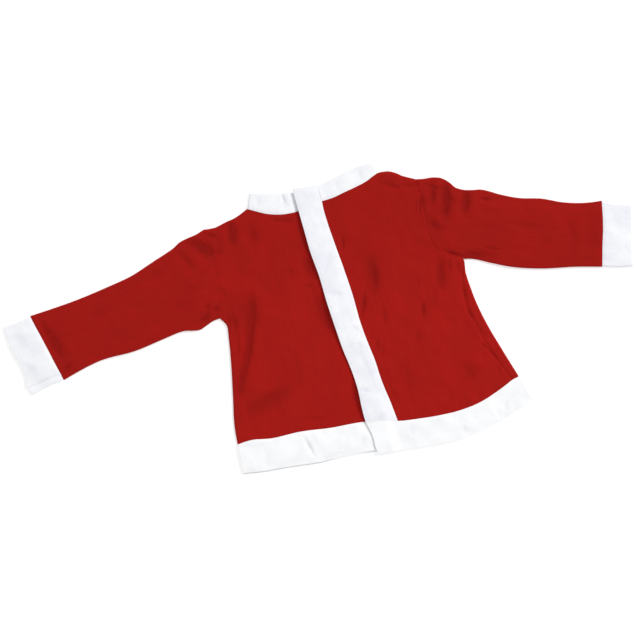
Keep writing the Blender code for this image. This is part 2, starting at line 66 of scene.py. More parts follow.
# %% The pattern's lines
BOX_MIDDLE = (-19.5, -29.68, 0.0)
LINES = dict(
    # the body's seams and sides
    shoulder_right=[(-120.2, 93.6), (-108, 92.6), (-97.3, 94.9), (-86.3, 96.7), (-72, 102.3)],
    shoulder_left=[(97.2, 87.9), (86.2, 94), (75.9, 101.3), (69, 103.1), (61.5, 103.2)],
    neck_right=[
        (-72, 102.3), (-64.7, 98.3), (-57.7, 94.3), (-46.2, 89.8), (-36.1, 87.7), (-23, 87.1),
        (-5.8, 89),
    ],
    neck_left=[
        (61.5, 103.2), (58.3, 102.1), (49.9, 98.5), (38.3, 95.8), (27.4, 93.9), (11.2, 91.1),
        (1.8, 90.8),
    ],
    armhole_right=[(-120.2, 93.6), (-117.4, 70), (-118, 46), (-120.5, 26), (-126.4, 4)],
    armhole_left=[
        (97.2, 87.9), (98.4, 66), (96.8, 45), (96.4, 25), (99.5, 14.5), (108, 8.6), (117, 5),
        (122, 2.2), (123.7, -2.1),
    ],
    side_right=[
        (-126.4, 4), (-121.8, -4.1), (-122.9, -15.9), (-127.7, -44.5), (-133.9, -74.1), (-140.5, -106),
        (-141.9, -122.2),
    ],
    side_left=[
        (123.7, -2.1), (122.7, -18), (124.6, -45.3), (130.3, -73.7), (136.6, -95.7), (146.6, -129),
    ],
    side_seam_left=[
        (123.7, -2.1), (117.2, -20), (114.6, -44), (117.4, -62), (123.4, -88), (139.1, -130.8),
    ],
    # the hem's seam and edge
    hem_right=[
        (-141.9, -122.2), (-129.2, -121.3), (-108.9, -124.8), (-78.4, -126), (-48.4, -130),
        (-13, -133.2), (5, -137.3),
    ],
    hem_left=[
        (-13, -133.2), (5, -137.3), (18.5, -141.1), (40.8, -144.2), (61.1, -146.2), (81.3, -146.6),
        (102.5, -144), (124.5, -136.9), (139.1, -130.8), (146.6, -129),
    ],
    hem_edge_right=[
        (-144, -151.2), (-127, -154), (-97, -156.9), (-65, -160.4), (-41, -161.2), (-7.6, -163.8),
        (8, -166.2),
    ],
    hem_edge_left=[
        (-8.6, -167.6), (13.6, -169.6), (43.7, -173.2), (63, -174.5), (82.7, -173.8), (106.8, -169.6),
        (129, -163.8), (154.2, -155.2),
    ],
    hem_meeting=[(-13, -133.2), (-10.8, -143.2), (-9.6, -152), (-10, -161), (-8.6, -167.6)],
    # the collar's upper edge
    collar_edge_right=[(-66.3, 117), (-51, 113.2), (-35.3, 109), (-22.7, 106.3), (-5, 104.4)],
    collar_edge_left=[
        (62.2, 112.3), (58, 114.3), (48, 115), (37.3, 113.8), (26.3, 111.7), (15.4, 109.3),
        (2.4, 106.9),
    ],
    # the sleeves' two folds
    sleeve_upper_right=[
        (-120.2, 93.6), (-126.2, 91.6), (-134, 90.2), (-143.1, 88.9), (-155.4, 83), (-168.7, 78.6),
        (-180.5, 74.7), (-200.1, 68.2), (-227.7, 63.3), (-261.7, 58.7), (-293, 56.3), (-309.3, 55.4),
    ],
    sleeve_lower_right=[
        (-126.4, 4), (-135.2, 3), (-147.9, -1.8), (-166, 1.1), (-184.3, -1.1), (-216.7, -5.5),
        (-253, -5.9), (-280.6, -11.7), (-293.2, -15.2),
    ],
    sleeve_upper_left=[
        (97.2, 87.9), (107.7, 85.8), (117.8, 84.5), (126.5, 79.6), (130.5, 74.4), (134.5, 69),
        (145.5, 63.7), (158.3, 60.9), (173.6, 52.2), (191.5, 43.4), (215.8, 36), (232.2, 28.2),
        (263, 19.9), (271.9, 19),
    ],
    sleeve_lower_left=[
        (124.6, -1.6), (131.4, -3.4), (148.9, -12.3), (167.4, -21.4), (195.7, -30.8), (230.1, -38.2),
        (255.3, -44.9),
    ],
    # the cuffs: seam, two folds and open edge
    cuff_right=[(-309.3, 55.4), (-301.9, 23.1), (-293.2, -15.2)],
    cuff_upper_right=[(-309.3, 55.4), (-322, 52.9), (-337, 52.4)],
    cuff_lower_right=[(-293.2, -15.2), (-308, -17), (-318, -19.4), (-327, -21.2)],
    cuff_edge_right=[
        (-337, 52.4), (-335.9, 33), (-331.5, 13), (-329.4, -2), (-330.4, -13), (-327, -21.2),
    ],
    cuff_lip=[(-298, -8.6), (-308, -9.6), (-318, -11.4), (-331, -13.8)],
    cuff_left=[(271.9, 19), (266.6, -5.2), (260.4, -26.5), (255.3, -44.9)],
    cuff_upper_left=[(271.9, 19), (285.7, 12), (299.4, 8.3)],
    cuff_lower_left=[(255.3, -44.9), (270, -49.4), (285, -52.6)],
    cuff_edge_left=[(299.4, 8.3), (293.8, -12.5), (288, -36.7), (285, -52.6)],
)


def table(names, *rows):
    """A short table as one array for each named column."""
    return dict(zip(names.split(), np.array(rows, float).T))


PLACKET = table(
    "level free_edge sewn_edge",
    (110, -23.4, 2.2), (88, -23.2, 1.2), (66, -22.7, 1.7), (45, -22.4, 3.3), (20, -20.2, 5.4),
    (-8, -19.5, 7.2), (-35, -17.9, 7.5), (-56, -16.4, 9.3), (-76, -13.7, 11.8), (-100, -12.1, 13.2),
    (-118, -13, 15.8), (-138, -13.3, 18),
)
LINES["placket"] = np.column_stack([PLACKET["sewn_edge"], PLACKET["level"]])
print("lines:", len(LINES), "points:", sum(len(points) for points in LINES.values()))

# %% [markdown]
# ## Folds and creases
#
# Cloth that was worn and laid down keeps its shape: broad mounds where air is caught under the top
# layer, soft folds where the cloth was pushed together, and narrow creases beside the seams. Each one
# is a row: where its middle is, which way it runs, how long and wide it is, and how high. A negative
# height is a trough. `bend` moves a crease's two ends sideways, so that it curves. Noise would be
# quicker than placing them one by one, but noise never puts a fold where the sewing pulls the cloth.

# %% The tables of folds
MOUNDS = table(
    "x y angle length width height",
    (-72, -10, 82, 200, 90, 1.3),
    (62, -30, 100, 210, 90, 1.3),
    (-215, 35, 10, 190, 60, 1.5),
    (190, 12, -22, 180, 66, 1.6),
    (-140, 45, 80, 70, 40, 0.7),
    (112, 40, 90, 70, 34, 0.9),
)
FOLDS = table(
    "x y angle length width height",
    # right sleeve head
    (-128, 77, -49, 32, 10, -2.8),
    (-137, 68, -61, 35, 12, 0.8),
    (-112, 60, -26, 28, 12, 0.5),
    (-94, 84, 76, 26, 8, -2.2),
    (-75, 78, 78, 22, 10, -1.1),
    (-101, 81, 78, 24, 8, 0.4),
    (-83, 77, 77, 31, 10, 0.5),
    # right underarm and sleeve
    (-136, 14, 39, 30, 12, 0.8),
    (-143, 24, 47, 32, 12, 0.6),
    # right front
    (-97, -2, 72, 42, 9, -2),
    (-108, -31, 67, 40, 7, -2.3),
    (-120, -57, 64, 40, 8, -2),
    (-114, -29, 73, 55, 9, 0.6),
    (-87, -9, 72, 66, 16, 0.6),
    (-107, -59, 67, 53, 15, 0.5),
    (-102, -89, 16, 51, 14, -1.7),
    (-83, -98, 21, 49, 16, 0.5),
    (-49, 36, 79, 72, 20, 0.5),
    # left sleeve head
    (120, 59, 73, 35, 8, -3.1),
    (117, 63, 73, 31, 7, 0.9),
    (109, 68, 72, 22, 7, -1.9),
    (105, 69, 75, 24, 7, 0.5),
    (132, 56, 69, 33, 11, 1.1),
    (139, 53, 68, 26, 8, -1.8),
    (149, 50, 66, 27, 10, 0.5),
    (103, 38, -76, 23, 12, -1.1),
    # left underarm
    (110, 22, -53, 25, 10, 0.7),
    (140, 6, -15, 33, 9, 0.8),
    (96, -11, 77, 31, 9, -1.8),
    (89, -10, 78, 40, 12, 0.5),
    (109, -11, 77, 29, 8, 0.5),
    # left front
    (30, 5, 82, 38, 12, -1.6),
    (43, -3, 78, 42, 16, 0.5),
    (41, -48, 82, 55, 20, 0.4),
    (70, -87, -89, 57, 18, 0.5),
    (99, -110, -75, 18, 14, -1),
)
CREASES = table(
    "x y angle length width height bend",
    # right sleeve head
    (-126, 75, -50, 24, 5, -2.3, 2),
    (-114, 86, -31, 18, 4, -1.5, 1),
    (-112, 68, -25, 14, 5, -1.1, 0),
    (-94, 83, 83, 28, 5, -1.7, -1),
    (-134, 74, -73, 28, 6, 0.5, 2),
    (-144, 68, -66, 32, 7, -0.9, -3),
    (-103, 80, 81, 25, 6, 0.4, 0),
    # right underarm
    (-141, 8, 30, 21, 5, -2.1, 2),
    (-128, 14, 35, 10, 5, -1.5, 0),
    (-136, 18, 34, 12, 5, -1.1, 1),
    (-119, -1, 83, 27, 4, -1.5, 1),
    (-114, -4, 85, 28, 5, -1.7, 1),
    (-117, 26, 85, 22, 6, -0.9, 0),
    # right sleeve and cuff seam
    (-179, 63, 9, 71, 9, -0.7, 4),
    (-205, 25, 7, 78, 10, 0.28, -4),
    (-235, 41, 6, 62, 8, -0.6, 2),
    (-296, 29, -77, 59, 8, -2.3, 1),
    (-292, 20, -83, 27, 8, -2.3, -1),
    (-280, 13, -76, 26, 6, 0.5, 1),
    (-288, -5, 32, 24, 5, -1.3, 0),
    (-265, -9, 21, 22, 5, -1.1, 0),
    (-149, 42, -21, 25, 8, -0.6, 1),
    # right front
    (-96, -3, 73, 35, 5, -1.7, -1),
    (-106, -32, 71, 40, 4, -2.5, 1),
    (-120, -55, 61, 31, 6, -2.3, 0),
    (-126, -70, 75, 20, 5, -1.1, 0),
    (-117, -30, 73, 38, 4, -1.1, 1),
    (-121, -40, 77, 34, 5, 0.4, 0),
    (-100, -85, 19, 36, 7, -0.9, 2),
    (-47, 31, 84, 15, 7, -0.8, 0),
    (-91, -35, 83, 38, 8, -0.5, 2),
    (-60, -21, 77, 63, 9, 0.24, -3),
    (-66, -72, 84, 63, 9, -0.6, 3),
    (-63, 50, 86, 41, 8, -0.5, 2),
    # placket's shadow side
    (-27, 64, 90, 44, 7, -1.3, 0),
    (-28, 29, -80, 36, 9, -2.3, 1),
    (-27, -19, -85, 61, 11, -2.7, 0),
    (-34, 12, -25, 14, 5, -0.9, 0),
    (-17, -108, 88, 44, 6, -1.5, 0),
    # left sleeve head
    (122, 59, 71, 35, 5, -2.7, 1),
    (110, 68, 71, 16, 4, -1.7, 0),
    (95, 61, 72, 24, 3, -1.7, 0),
    (91, 62, 73, 20, 3, -1.1, 0),
    (141, 53, 69, 25, 5, -1.5, 1),
    (160, 50, -19, 19, 3.5, -1.7, 0),
    (172, 37, -25, 51, 7, 0.24, 2),
    (103, 38, -66, 18, 6, -0.9, 1),
    # left shoulder seam
    (72, 88, -30, 29, 3, -1.7, 1),
    (91, 83, -8, 31, 3, -1.7, 0),
    (113, 75, -26, 33, 3, -1.5, 1),
    # left underarm
    (133, -2, -20, 30, 6, -3, 1),
    (153, 1, -24, 30, 5, -1.1, 1),
    (114, 6, -36, 24, 5, -2.1, 1),
    (108, -3, 79, 18, 4, -1.5, 0),
    (116, -8, 86, 20, 4, -1.5, 0),
    (97, -11, 78, 26, 5, -1.7, 1),
    (86, -29, 66, 25, 6, -0.8, 1),
    # left side seam
    (115, -35, 82, 20, 4, -1.1, 0),
    (115, -57, -82, 19, 4, -1.5, 0),
    (121, -91, -60, 12, 4, -1.7, 0),
    (127, -101, -62, 20, 4, -1.3, 0),
    (129, -116, 87, 18, 4, -0.9, 0),
    (122, -75, -84, 11, 3, -0.9, 0),
    # left sleeve
    (195, 12, -23, 76, 9, -0.7, 4),
    (211, -12, -19, 75, 9, 0.28, -3),
    (234, 0, -86, 34, 7, -0.7, 1),
    # broad soft hollows
    (-291, 19, -87, 71, 24, -0.9, 0),
    (252, -13, 74, 73, 22, -0.9, 0),
    (235, -10, 74, 63, 14, -0.5, 1),
    (-103, -4, 75, 70, 24, -1.4, 1),
    (-124, 77, -52, 25, 17, -0.8, 0),
    (-27, 40, 85, 71, 13, -0.9, 1),
    (98, 62, 75, 32, 11, -0.8, 0),
    (124, 56, 71, 35, 11, -0.6, 0),
    (139, 52, 68, 30, 10, -0.6, 0),
    (100, -9, 71, 38, 9, -0.7, 0),
    (116, -39, 79, 35, 6, -0.8, 0),
    (32, -35, 80, 28, 8, -0.5, 0),
    (70, -46, 78, 32, 10, -0.4, 0),
    (100, -114, -65, 20, 10, -0.7, 0),
    (-117, -92, 19, 27, 12, -0.7, 0),
    (-96, -85, 15, 35, 12, -0.7, 0),
    (-61, -118, -13, 40, 5, -0.9, 1),
    (-72, 73, 82, 20, 9, -0.7, 0),
    (-92, 82, 71, 33, 8, -0.6, 0),
    (30, 8, 68, 48, 13, -0.6, 0),
    (-42, 82, -17, 43, 3.5, -1.3, 0),
    (146, -4, -23, 43, 8, -0.7, 0),
    # left front
    (32, 5, 84, 33, 6, -1.3, -1),
    (15, -20, 69, 38, 4.5, -2.1, 1),
    (11, 45, 71, 20, 3.5, -1.5, 0),
    (18, -63, 79, 20, 4, -1.3, 0),
    (21, -69, 72, 23, 4, -0.8, 0),
    (21, -113, -83, 27, 4, -0.9, 0),
    (71, -40, 75, 25, 4.5, -1.7, 0),
    (73, -12, 75, 22, 4, -0.8, 0),
    (59, -64, 66, 25, 6, -0.7, 0),
    (32, -37, 79, 38, 6, -0.6, 1),
    (46, -81, 84, 63, 9, 0.24, -4),
    (38, -101, 84, 61, 9, -0.6, 3),
    (77, -109, -90, 57, 8, 0.24, 2),
    (67, 36, 81, 51, 8, -0.5, 2),
)
BAND_CREASES = table(
    "x y angle length width height bend",
    # collar
    (-35, 103, 90, 15, 3, -1.6, 0),
    (-30, 100, 84, 18, 5, 0.5, 0),
    (-60, 106, 70, 16, 5, -0.5, 1),
    (20, 101, 96, 20, 6, -0.4, 0),
    (45, 106, 80, 18, 5, -0.4, 1),
    # hem
    (-73.6, -143.3, -77, 34, 3, -1.5, 0),
    (-70, -143, -78, 30, 6, 0.4, 0),
    (-118, -140, 84, 30, 8, -0.5, 1),
    (-20, -150, 86, 28, 6, -0.3, -1),
    (29, -154, 80, 12, 5, -0.6, 0),
    (80, -166, 84, 12, 5, -0.6, 0),
    (112, -156, 106, 30, 7, 0.4, 0),
    (126, -154, 70, 16, 5, -0.5, 0),
    # placket
    (-9, -3, -26, 25, 7, -0.8, 0),
    (1, -41, -60, 12, 6, -0.7, 0),
    (1, -58, -50, 12, 6, -0.7, 0),
    (-6, -103, -20, 17, 6, -0.9, 0),
    (-8, 30, 60, 36, 8, -0.5, 1),
    (2, -80, 100, 50, 8, -0.4, 1),
    (-10, 74, 100, 36, 7, 0.4, -1),
    # right cuff
    (-322, 34, 116, 26, 8, -0.9, 1),
    (-316, 20, 96, 24, 7, 0.5, 0),
    (-321, 6, 128, 26, 7, -1.3, 1),
    (-310, 2, 140, 22, 6, 0.5, 0),
    (-312, -11, 10, 40, 2.2, -0.7, 0),
    # left cuff
    (282, 2, 110, 30, 8, -0.6, 1),
    (276, -24, 100, 30, 8, 0.4, 1),
    (284, -30, 75, 30, 7, -0.5, 0),
)
print("folds:", len(FOLDS["x"]), "creases:", len(CREASES["x"]), "on bands:", len(BAND_CREASES["x"]))

# %% [markdown]
# ## Curves
#
# The jacket's seams and edges are smooth lines. They could be lists of hundreds of points, but a few
# points and a smooth curve through them are easier to correct. The curve is drawn densely first and
# then divided into even cells, so that cloth on both sides of a seam gets its points at the same
# places.

# %% Curves through the pattern's points
POINTS_A_CELL = 40


def smooth_step(value):
    """0 below 0, 1 above 1, and a soft S between."""
    value = np.clip(value, 0.0, 1.0)
    return value * value * (3.0 - 2.0 * value)


def step_lengths(line):
    """How long each straight piece of a line is."""
    return np.linalg.norm(np.diff(line, axis=0), axis=1)


def run_along(line):
    """How far along a line each of its points is."""
    return np.append(0.0, np.cumsum(step_lengths(line)))


def bridge(start, leave, end, arrive, t):
    """Points on smooth steps from start to end, at t from 0 to 1, with the slopes given (Hermite)."""
    return (
        start * (2 * t**3 - 3 * t**2 + 1)
        + leave * (t**3 - 2 * t**2 + t)
        + end * (3 * t**2 - 2 * t**3)
        + arrive * (t**3 - t**2)
    )


def evenly(line, cells):
    """cells + 1 points, evenly far apart, on a line of straight pieces."""
    run = run_along(line)
    even = np.linspace(0.0, run[-1], cells + 1)
    return np.column_stack([np.interp(even, run, line[:, axis]) for axis in (0, 1)])


def curve(points, cells):
    """cells + 1 points, evenly far apart, on a smooth curve through the given points."""
    points = np.asarray(points, float)
    step, along = step_lengths(points), run_along(points)
    slope = np.gradient(points, along, axis=0)
    dense = np.linspace(0.0, along[-1], POINTS_A_CELL * cells + 1)
    span = np.clip(np.searchsorted(along, dense, "right") - 1, 0, len(along) - 2)
    length = step[span][:, None]
    t = ((dense - along[span]) / step[span])[:, None]
    leave, arrive = slope[span] * length, slope[span + 1] * length
    return evenly(bridge(points[span], leave, points[span + 1], arrive, t), cells)


def drawn(name, cells):
    """One of the pattern's lines as a curve."""
    return curve(LINES[name], cells)


def joined(*runs):
    """Curves end to end, with the points that they share kept once."""
    return np.concatenate([runs[0]] + [run[1:] for run in runs[1:]])


def toward(line, target):
    """Unit vectors square to a line at each of its points, on the target's side."""
    tangent = np.gradient(line, axis=0)
    normal = np.column_stack([-tangent[:, 1], tangent[:, 0]])
    normal /= np.linalg.norm(normal, axis=1)[:, None]
    return normal * np.sign((normal * (target - line)).sum(axis=1))[:, None]


def near(plan, line):
    """How far each plan point is from a line, and how far along the line the nearest point is."""
    side, length, run = np.diff(line, axis=0), step_lengths(line), run_along(line)
    best = np.full(plan.shape[:-1], np.inf)
    along = np.zeros(plan.shape[:-1])
    for index in range(len(side)):
        reach = plan - line[index]
        share = np.clip((reach @ side[index]) / length[index] ** 2, 0.0, 1.0)
        distance = np.linalg.norm(reach - share[..., None] * side[index], axis=-1)
        closer = distance < best
        best[closer] = distance[closer]
        along[closer] = (run[index] + share * length[index])[closer]
    return best, along


hems = [run_along(drawn(f"hem_{side}", POINTS_A_CELL))[-1] for side in ("right", "left")]
print("hem seams in mm:", [round(length) for length in hems])

# %% [markdown]
# ## Grids
#
# Knitted cloth bends along its rows and columns of stitches, and its mesh should too. Filling an
# outline with triangles would be simple, but they would crease the surface at random. So each pattern
# piece is a grid of points between four border lines, a Coons patch. It starts as coarse as the
# solid's own grid, so that it follows the same form, and is relaxed until its cells lie evenly,
# because cells squeezed at the hollow of an underarm would fold over. It is then divided finely with
# a smooth curve through the same points.
#
# Rows and columns stand closer together beside a worked edge, where the cloth turns down into its
# seam. Each border moves in by half of a seam's gap. Where two white bands meet, the gap is negative:
# fleece is so thick that its nap hides the joint.

# %% Grids between four lines
RELAX_ROUNDS = 120
CELL_STEPS = 6
EDGE_PLACES = (0.0, 0.05, 0.11, 0.18, 0.26, 0.36, 0.48, 0.62, 0.8)
SEAM = 0.04
NAP_SEAM = -0.7
BORDERS = {
    "first_row": (np.s_[0, :], np.s_[1, :]),
    "last_row": (np.s_[-1, :], np.s_[-2, :]),
    "first_column": (np.s_[:, 0], np.s_[:, 1]),
    "last_column": (np.s_[:, -1], np.s_[:, -2]),
}


def patch(first_row, last_row, first_column, last_column):
    """A grid of points filled in between four border curves, and relaxed."""
    v = np.linspace(0.0, 1.0, len(first_column))[:, None, None]
    u = np.linspace(0.0, 1.0, len(first_row))[None, :, None]
    rows = (1 - v) * first_row[None] + v * last_row[None]
    columns = (1 - u) * first_column[:, None] + u * last_column[:, None]
    corners = (1 - v) * ((1 - u) * first_row[0] + u * first_row[-1]) + v * (
        (1 - u) * last_row[0] + u * last_row[-1]
    )
    grid = rows + columns - corners
    for _ in range(RELAX_ROUNDS):
        below, above = grid[:-2, 1:-1], grid[2:, 1:-1]
        left, right = grid[1:-1, :-2], grid[1:-1, 2:]
        tall, wide = 0.5 * (above - below), 0.5 * (right - left)
        tall_weight = (wide * wide).sum(axis=-1, keepdims=True)
        wide_weight = (tall * tall).sum(axis=-1, keepdims=True)
        shear = 0.5 * (tall * wide).sum(axis=-1, keepdims=True)
        twist = grid[2:, 2:] + grid[:-2, :-2] - grid[2:, :-2] - grid[:-2, 2:]
        total = tall_weight * (below + above) + wide_weight * (left + right) - shear * twist
        grid[1:-1, 1:-1] = 0.5 * total / (tall_weight + wide_weight)
    return grid


def band(first_row, last_row, cells):
    """The grid of a band that runs between two lines and has straight ends."""
    ends = [np.linspace(first_row[index], last_row[index], cells + 1) for index in (0, -1)]
    return patch(first_row, last_row, *ends)


def places(cells, start=True, end=True, steps=CELL_STEPS):
    """Where a fine grid's lines stand along a coarse one, denser beside a worked start or end."""
    plain = np.arange(steps) / steps
    first = np.array(EDGE_PLACES) if start else plain
    last = cells - (np.array(EDGE_PLACES) if end else plain)[::-1]
    return np.concatenate([first, np.arange(steps, steps * (cells - 1) + 1) / steps, last])


def through(points, stands):
    """Points on a smooth curve through a grid's rows, at places counted in rows."""
    slope = np.gradient(points, axis=0)
    row = np.clip(np.floor(stands).astype(int), 0, len(points) - 2)
    t = (np.asarray(stands) - row).reshape((-1,) + (1,) * (points.ndim - 1))
    return bridge(points[row], slope[row], points[row + 1], slope[row + 1], t)


def fine(grid, rows, columns):
    """The same grid with its lines at the given places."""
    tall = through(grid, rows)
    return np.swapaxes(through(np.swapaxes(tall, 0, 1), columns), 0, 1)


def pulled_in(grid, sides=" ".join(BORDERS), gap=SEAM):
    """The grid with the named borders moved in by half of a gap."""
    result = grid.copy()
    for side in sides.split():
        border, inner = BORDERS[side]
        result[border] += 0.5 * gap * toward(grid[border], grid[inner])
    return result


print("a worked edge's first places, in cells:", places(2)[:4])

# %% [markdown]
# ## The height of the top layer
#
# Everything that shows from above is one relief over the plan: the layers' height, plus the mounds,
# folds and creases, plus a faint restlessness that no flat cloth is free of. It fades out where the
# jacket's two layers meet. A cloth simulation could make folds as well, but never the ones that this
# jacket has, and it needs care to come out the same twice. One function for the whole jacket also
# keeps both sides of a seam at the same height, so the pieces meet.

# %% Relief
TOP_LAYER = 3.0
LOWEST_TOP_LAYER = 1.75
SOFT_LANDING = 0.25
FADE_RUN = 11.0
CREASE_FADE_RUN = 4.0
CREASE_ENDS = 0.45
CREASE_SHOULDER = 1.6
RIPPLE_SEED = 24
RIPPLE_WAVES = 46
RIPPLE_HEIGHT = 0.48
RIPPLE_SHORTEST = 12.0
RIPPLE_LONGEST = 64.0
OUTLINE_CELLS = 24
OUTLINE = [
    drawn(f"{name}_{side}", OUTLINE_CELLS)
    for name in ("shoulder", "side", "sleeve_upper", "sleeve_lower", "cuff_upper", "cuff_lower")
    for side in ("right", "left")
]
chance = np.random.default_rng(RIPPLE_SEED)
ripple_length = np.exp(chance.uniform(math.log(RIPPLE_SHORTEST), math.log(RIPPLE_LONGEST), RIPPLE_WAVES))
ripple_angle = chance.uniform(0.0, math.tau, RIPPLE_WAVES)
ripple_start = chance.uniform(0.0, math.tau, RIPPLE_WAVES)


def ripples(plan):
    """A faint unevenness of many long, low waves."""
    total = np.zeros(plan.shape[:-1])
    share = RIPPLE_HEIGHT / math.sqrt(RIPPLE_WAVES)
    for length, angle, start in zip(ripple_length, ripple_angle, ripple_start):
        wave = math.tau / length
        east, north = wave * math.cos(angle), wave * math.sin(angle)
        height = share * math.sqrt(length / RIPPLE_LONGEST)
        total += height * np.sin(plan[..., 0] * east + plan[..., 1] * north + start)
    return total


def own_axes(plan, x, y, angle):
    """How far along a fold and how far across it each plan point is from its middle."""
    turn = math.radians(angle)
    east, north = plan[..., 0] - x, plan[..., 1] - y
    along = east * math.cos(turn) + north * math.sin(turn)
    return along, north * math.cos(turn) - east * math.sin(turn)


def swell(plan, rows):
    """The sum of a table's mounds or folds at each plan point."""
    total = np.zeros(plan.shape[:-1])
    for x, y, angle, length, width, height in zip(*rows.values()):
        along, across = own_axes(plan, x, y, angle)
        total += height * np.exp(-((along / (0.5 * length)) ** 4) - (across / (0.5 * width)) ** 2)
    return total


def creased(plan, rows):
    """The sum of a table's creases, which taper to nothing at both ends and may curve."""
    total = np.zeros(plan.shape[:-1])
    for x, y, angle, length, width, height, bend in zip(*rows.values()):
        along, across = own_axes(plan, x, y, angle)
        along = along / (0.5 * length)
        taper = np.cos(0.5 * math.pi * np.clip(along, -1.0, 1.0)) ** 2
        narrow = 0.5 * width * (CREASE_ENDS + (1.0 - CREASE_ENDS) * taper)
        total += height * taper * np.exp(-np.abs((across - bend * along**2) / narrow) ** CREASE_SHOULDER)
    return total


def relief(plan):
    """Mounds, folds and creases, which fade out where the two layers meet."""
    inside = np.min([near(plan, line)[0] for line in OUTLINE], axis=0)
    soft = smooth_step(inside / FADE_RUN) * (swell(plan, MOUNDS) + swell(plan, FOLDS))
    sharp = smooth_step(inside / CREASE_FADE_RUN) * (creased(plan, CREASES) + ripples(plan))
    return soft + sharp


def top_height(plan):
    """Middle of the top layer's wall. It never sinks into the layer below."""
    above = TOP_LAYER + relief(plan) - LOWEST_TOP_LAYER
    return LOWEST_TOP_LAYER + 0.5 * (above + np.sqrt(above**2 + SOFT_LANDING))


chest = np.array([[-60.0, 40.0], [50.0, 40.0]])
print("height of the chest's top layer in mm:", top_height(chest).round(2))

# %% [markdown]
# ## The lap under the placket
#
# A closed front is three layers thick beside its edge: the back, the right front that runs on under
# the placket, and the placket with the left front. The layers could all keep one height, but they
# would cut through each other. So the right front dips a little to pass under, and the layer over it
# comes down again past the hidden edge.

# %% Laps
LAP_WIDTH = 17.0
LAP_PLAY = 1.0
LAP_DIP = 0.45
LAP_DIP_RUN = 9.0
LAP_RISE = 1.5
LAP_RISE_RUN = 12.0
LEVEL_CELLS = 60


def placket_edge(level, name):
    return np.interp(-level, -PLACKET["level"], PLACKET[name])


def placket_line(name, first_level, last_level, cells):
    """A smooth line down one edge of the placket, with its points on even levels."""
    line = curve(np.column_stack([PLACKET[name], PLACKET["level"]]), LEVEL_CELLS)
    levels = np.linspace(first_level, last_level, cells + 1)
    return np.column_stack([np.interp(-levels, -line[:, 1], line[:, 0]), levels])


def past_free_edge(plan):
    """How far inside the placket's free edge each plan point is."""
    return plan[..., 0] - placket_edge(plan[..., 1], "free_edge")


def under_lap(plan):
    """Middle of a top wall that dips to pass under the placket."""
    return top_height(plan) - LAP_DIP * smooth_step(1.0 + (past_free_edge(plan) - LAP_PLAY) / LAP_DIP_RUN)


def over_lap(plan):
    """Middle of a top wall that lies over the right front, and comes down past its hidden edge."""
    past = past_free_edge(plan) - LAP_WIDTH
    return top_height(plan) + LAP_RISE * smooth_step(1.0 - (past - LAP_PLAY) / LAP_RISE_RUN)


spot = np.array([[-7.0, 20.0]])
print("heights under and over the lap in mm:", under_lap(spot).round(2), over_lap(spot).round(2))

# %% [markdown]
# ## Seams
#
# A seam is a valley: both pieces turn down to the thread that holds them, and the cloth beside it
# puckers. A line painted in the material would be cheaper, but it has no shadow. Here each seam gets
# one row of uneven puckers, and its own depth and spacing, as they depend on the cloth. The pieces on
# its two sides read the same row, so a pucker runs across it.

# %% Seam valleys and puckers
PUCKER_REACH = 6.5
PUCKER_START = 1.5
PUCKER_START_LOSS = 0.5
PUCKER_STEPS = (0.6, 1.5)
PUCKER_SHARES = (0.25, 1.0)
SPARE_PUCKERS = 8
VALLEY = 1.7


def seam(name, seed, dip, pucker, spacing):
    """A seam's line, its valley's depth, and where its puckers stand and how high they are."""
    line = drawn(name, OUTLINE_CELLS)
    draw = np.random.default_rng(seed)
    count = int(step_lengths(line).sum() / spacing) + SPARE_PUCKERS
    steps = draw.uniform(*PUCKER_STEPS, count) * spacing
    signs = np.where(np.arange(count) % 2, 1.0, -1.0)
    return line, dip, pucker, np.cumsum(steps) - steps[0], signs * draw.uniform(*PUCKER_SHARES, count)


SEAMS = {
    row[0]: seam(*row)
    for row in (
        ("shoulder_right", 1, 0.2, 0.2, 6.0),
        ("shoulder_left", 2, 0.2, 0.2, 6.0),
        ("armhole_right", 3, 0.12, 0.16, 6.5),
        ("armhole_left", 4, 0.45, 0.26, 6.0),
        ("side_seam_left", 5, 0.7, 0.45, 7.0),
        ("neck_right", 6, 0.4, 0.26, 6.0),
        ("neck_left", 7, 0.4, 0.26, 6.0),
        ("hem_right", 8, 0.4, 0.3, 7.0),
        ("hem_left", 9, 0.4, 0.3, 7.5),
        ("cuff_right", 10, 0.5, 0.4, 6.0),
        ("cuff_left", 11, 0.45, 0.3, 6.0),
        ("placket", 12, 0.5, 0.22, 8.0),
    )
}


def seam_relief(plan, names):
    """Valleys and puckers of the named seams."""
    total = np.zeros(plan.shape[:-1])
    for name in names.split():
        line, dip, pucker, stands, heights = SEAMS[name]
        distance, run = near(plan, line)
        total -= dip * np.exp(-((distance / VALLEY) ** 2))
        step = np.clip(np.searchsorted(stands, run, "right") - 1, 0, len(stands) - 2)
        share = smooth_step((run - stands[step]) / (stands[step + 1] - stands[step]))
        wave = heights[step] * (1.0 - share) + heights[step + 1] * share
        start = 1.0 - PUCKER_START_LOSS * np.exp(-((distance / PUCKER_START) ** 2))
        total += pucker * (start * np.exp(-((distance / PUCKER_REACH) ** 2))) * wave
    return total


print("seams:", ", ".join(SEAMS))

# %% [markdown]
# ## Meshes from grids
#
# Cut cloth has a grain, the way its knit runs, and a sleeve's grain isn't the body's. Unwrapping each
# piece by operator would lose it, so the UV map comes straight from the points: in metres, and turned
# with the grain. Faces join each point of a grid to its neighbours, and a closed grid's last column
# to its first. Values on the points tell a material where to paint shade.

# %% Faces, meshes and paint
CLOTH = 1.0
TRIM = 1.5
THICKNESS = {"red_jersey": CLOTH, "white_fleece": TRIM}


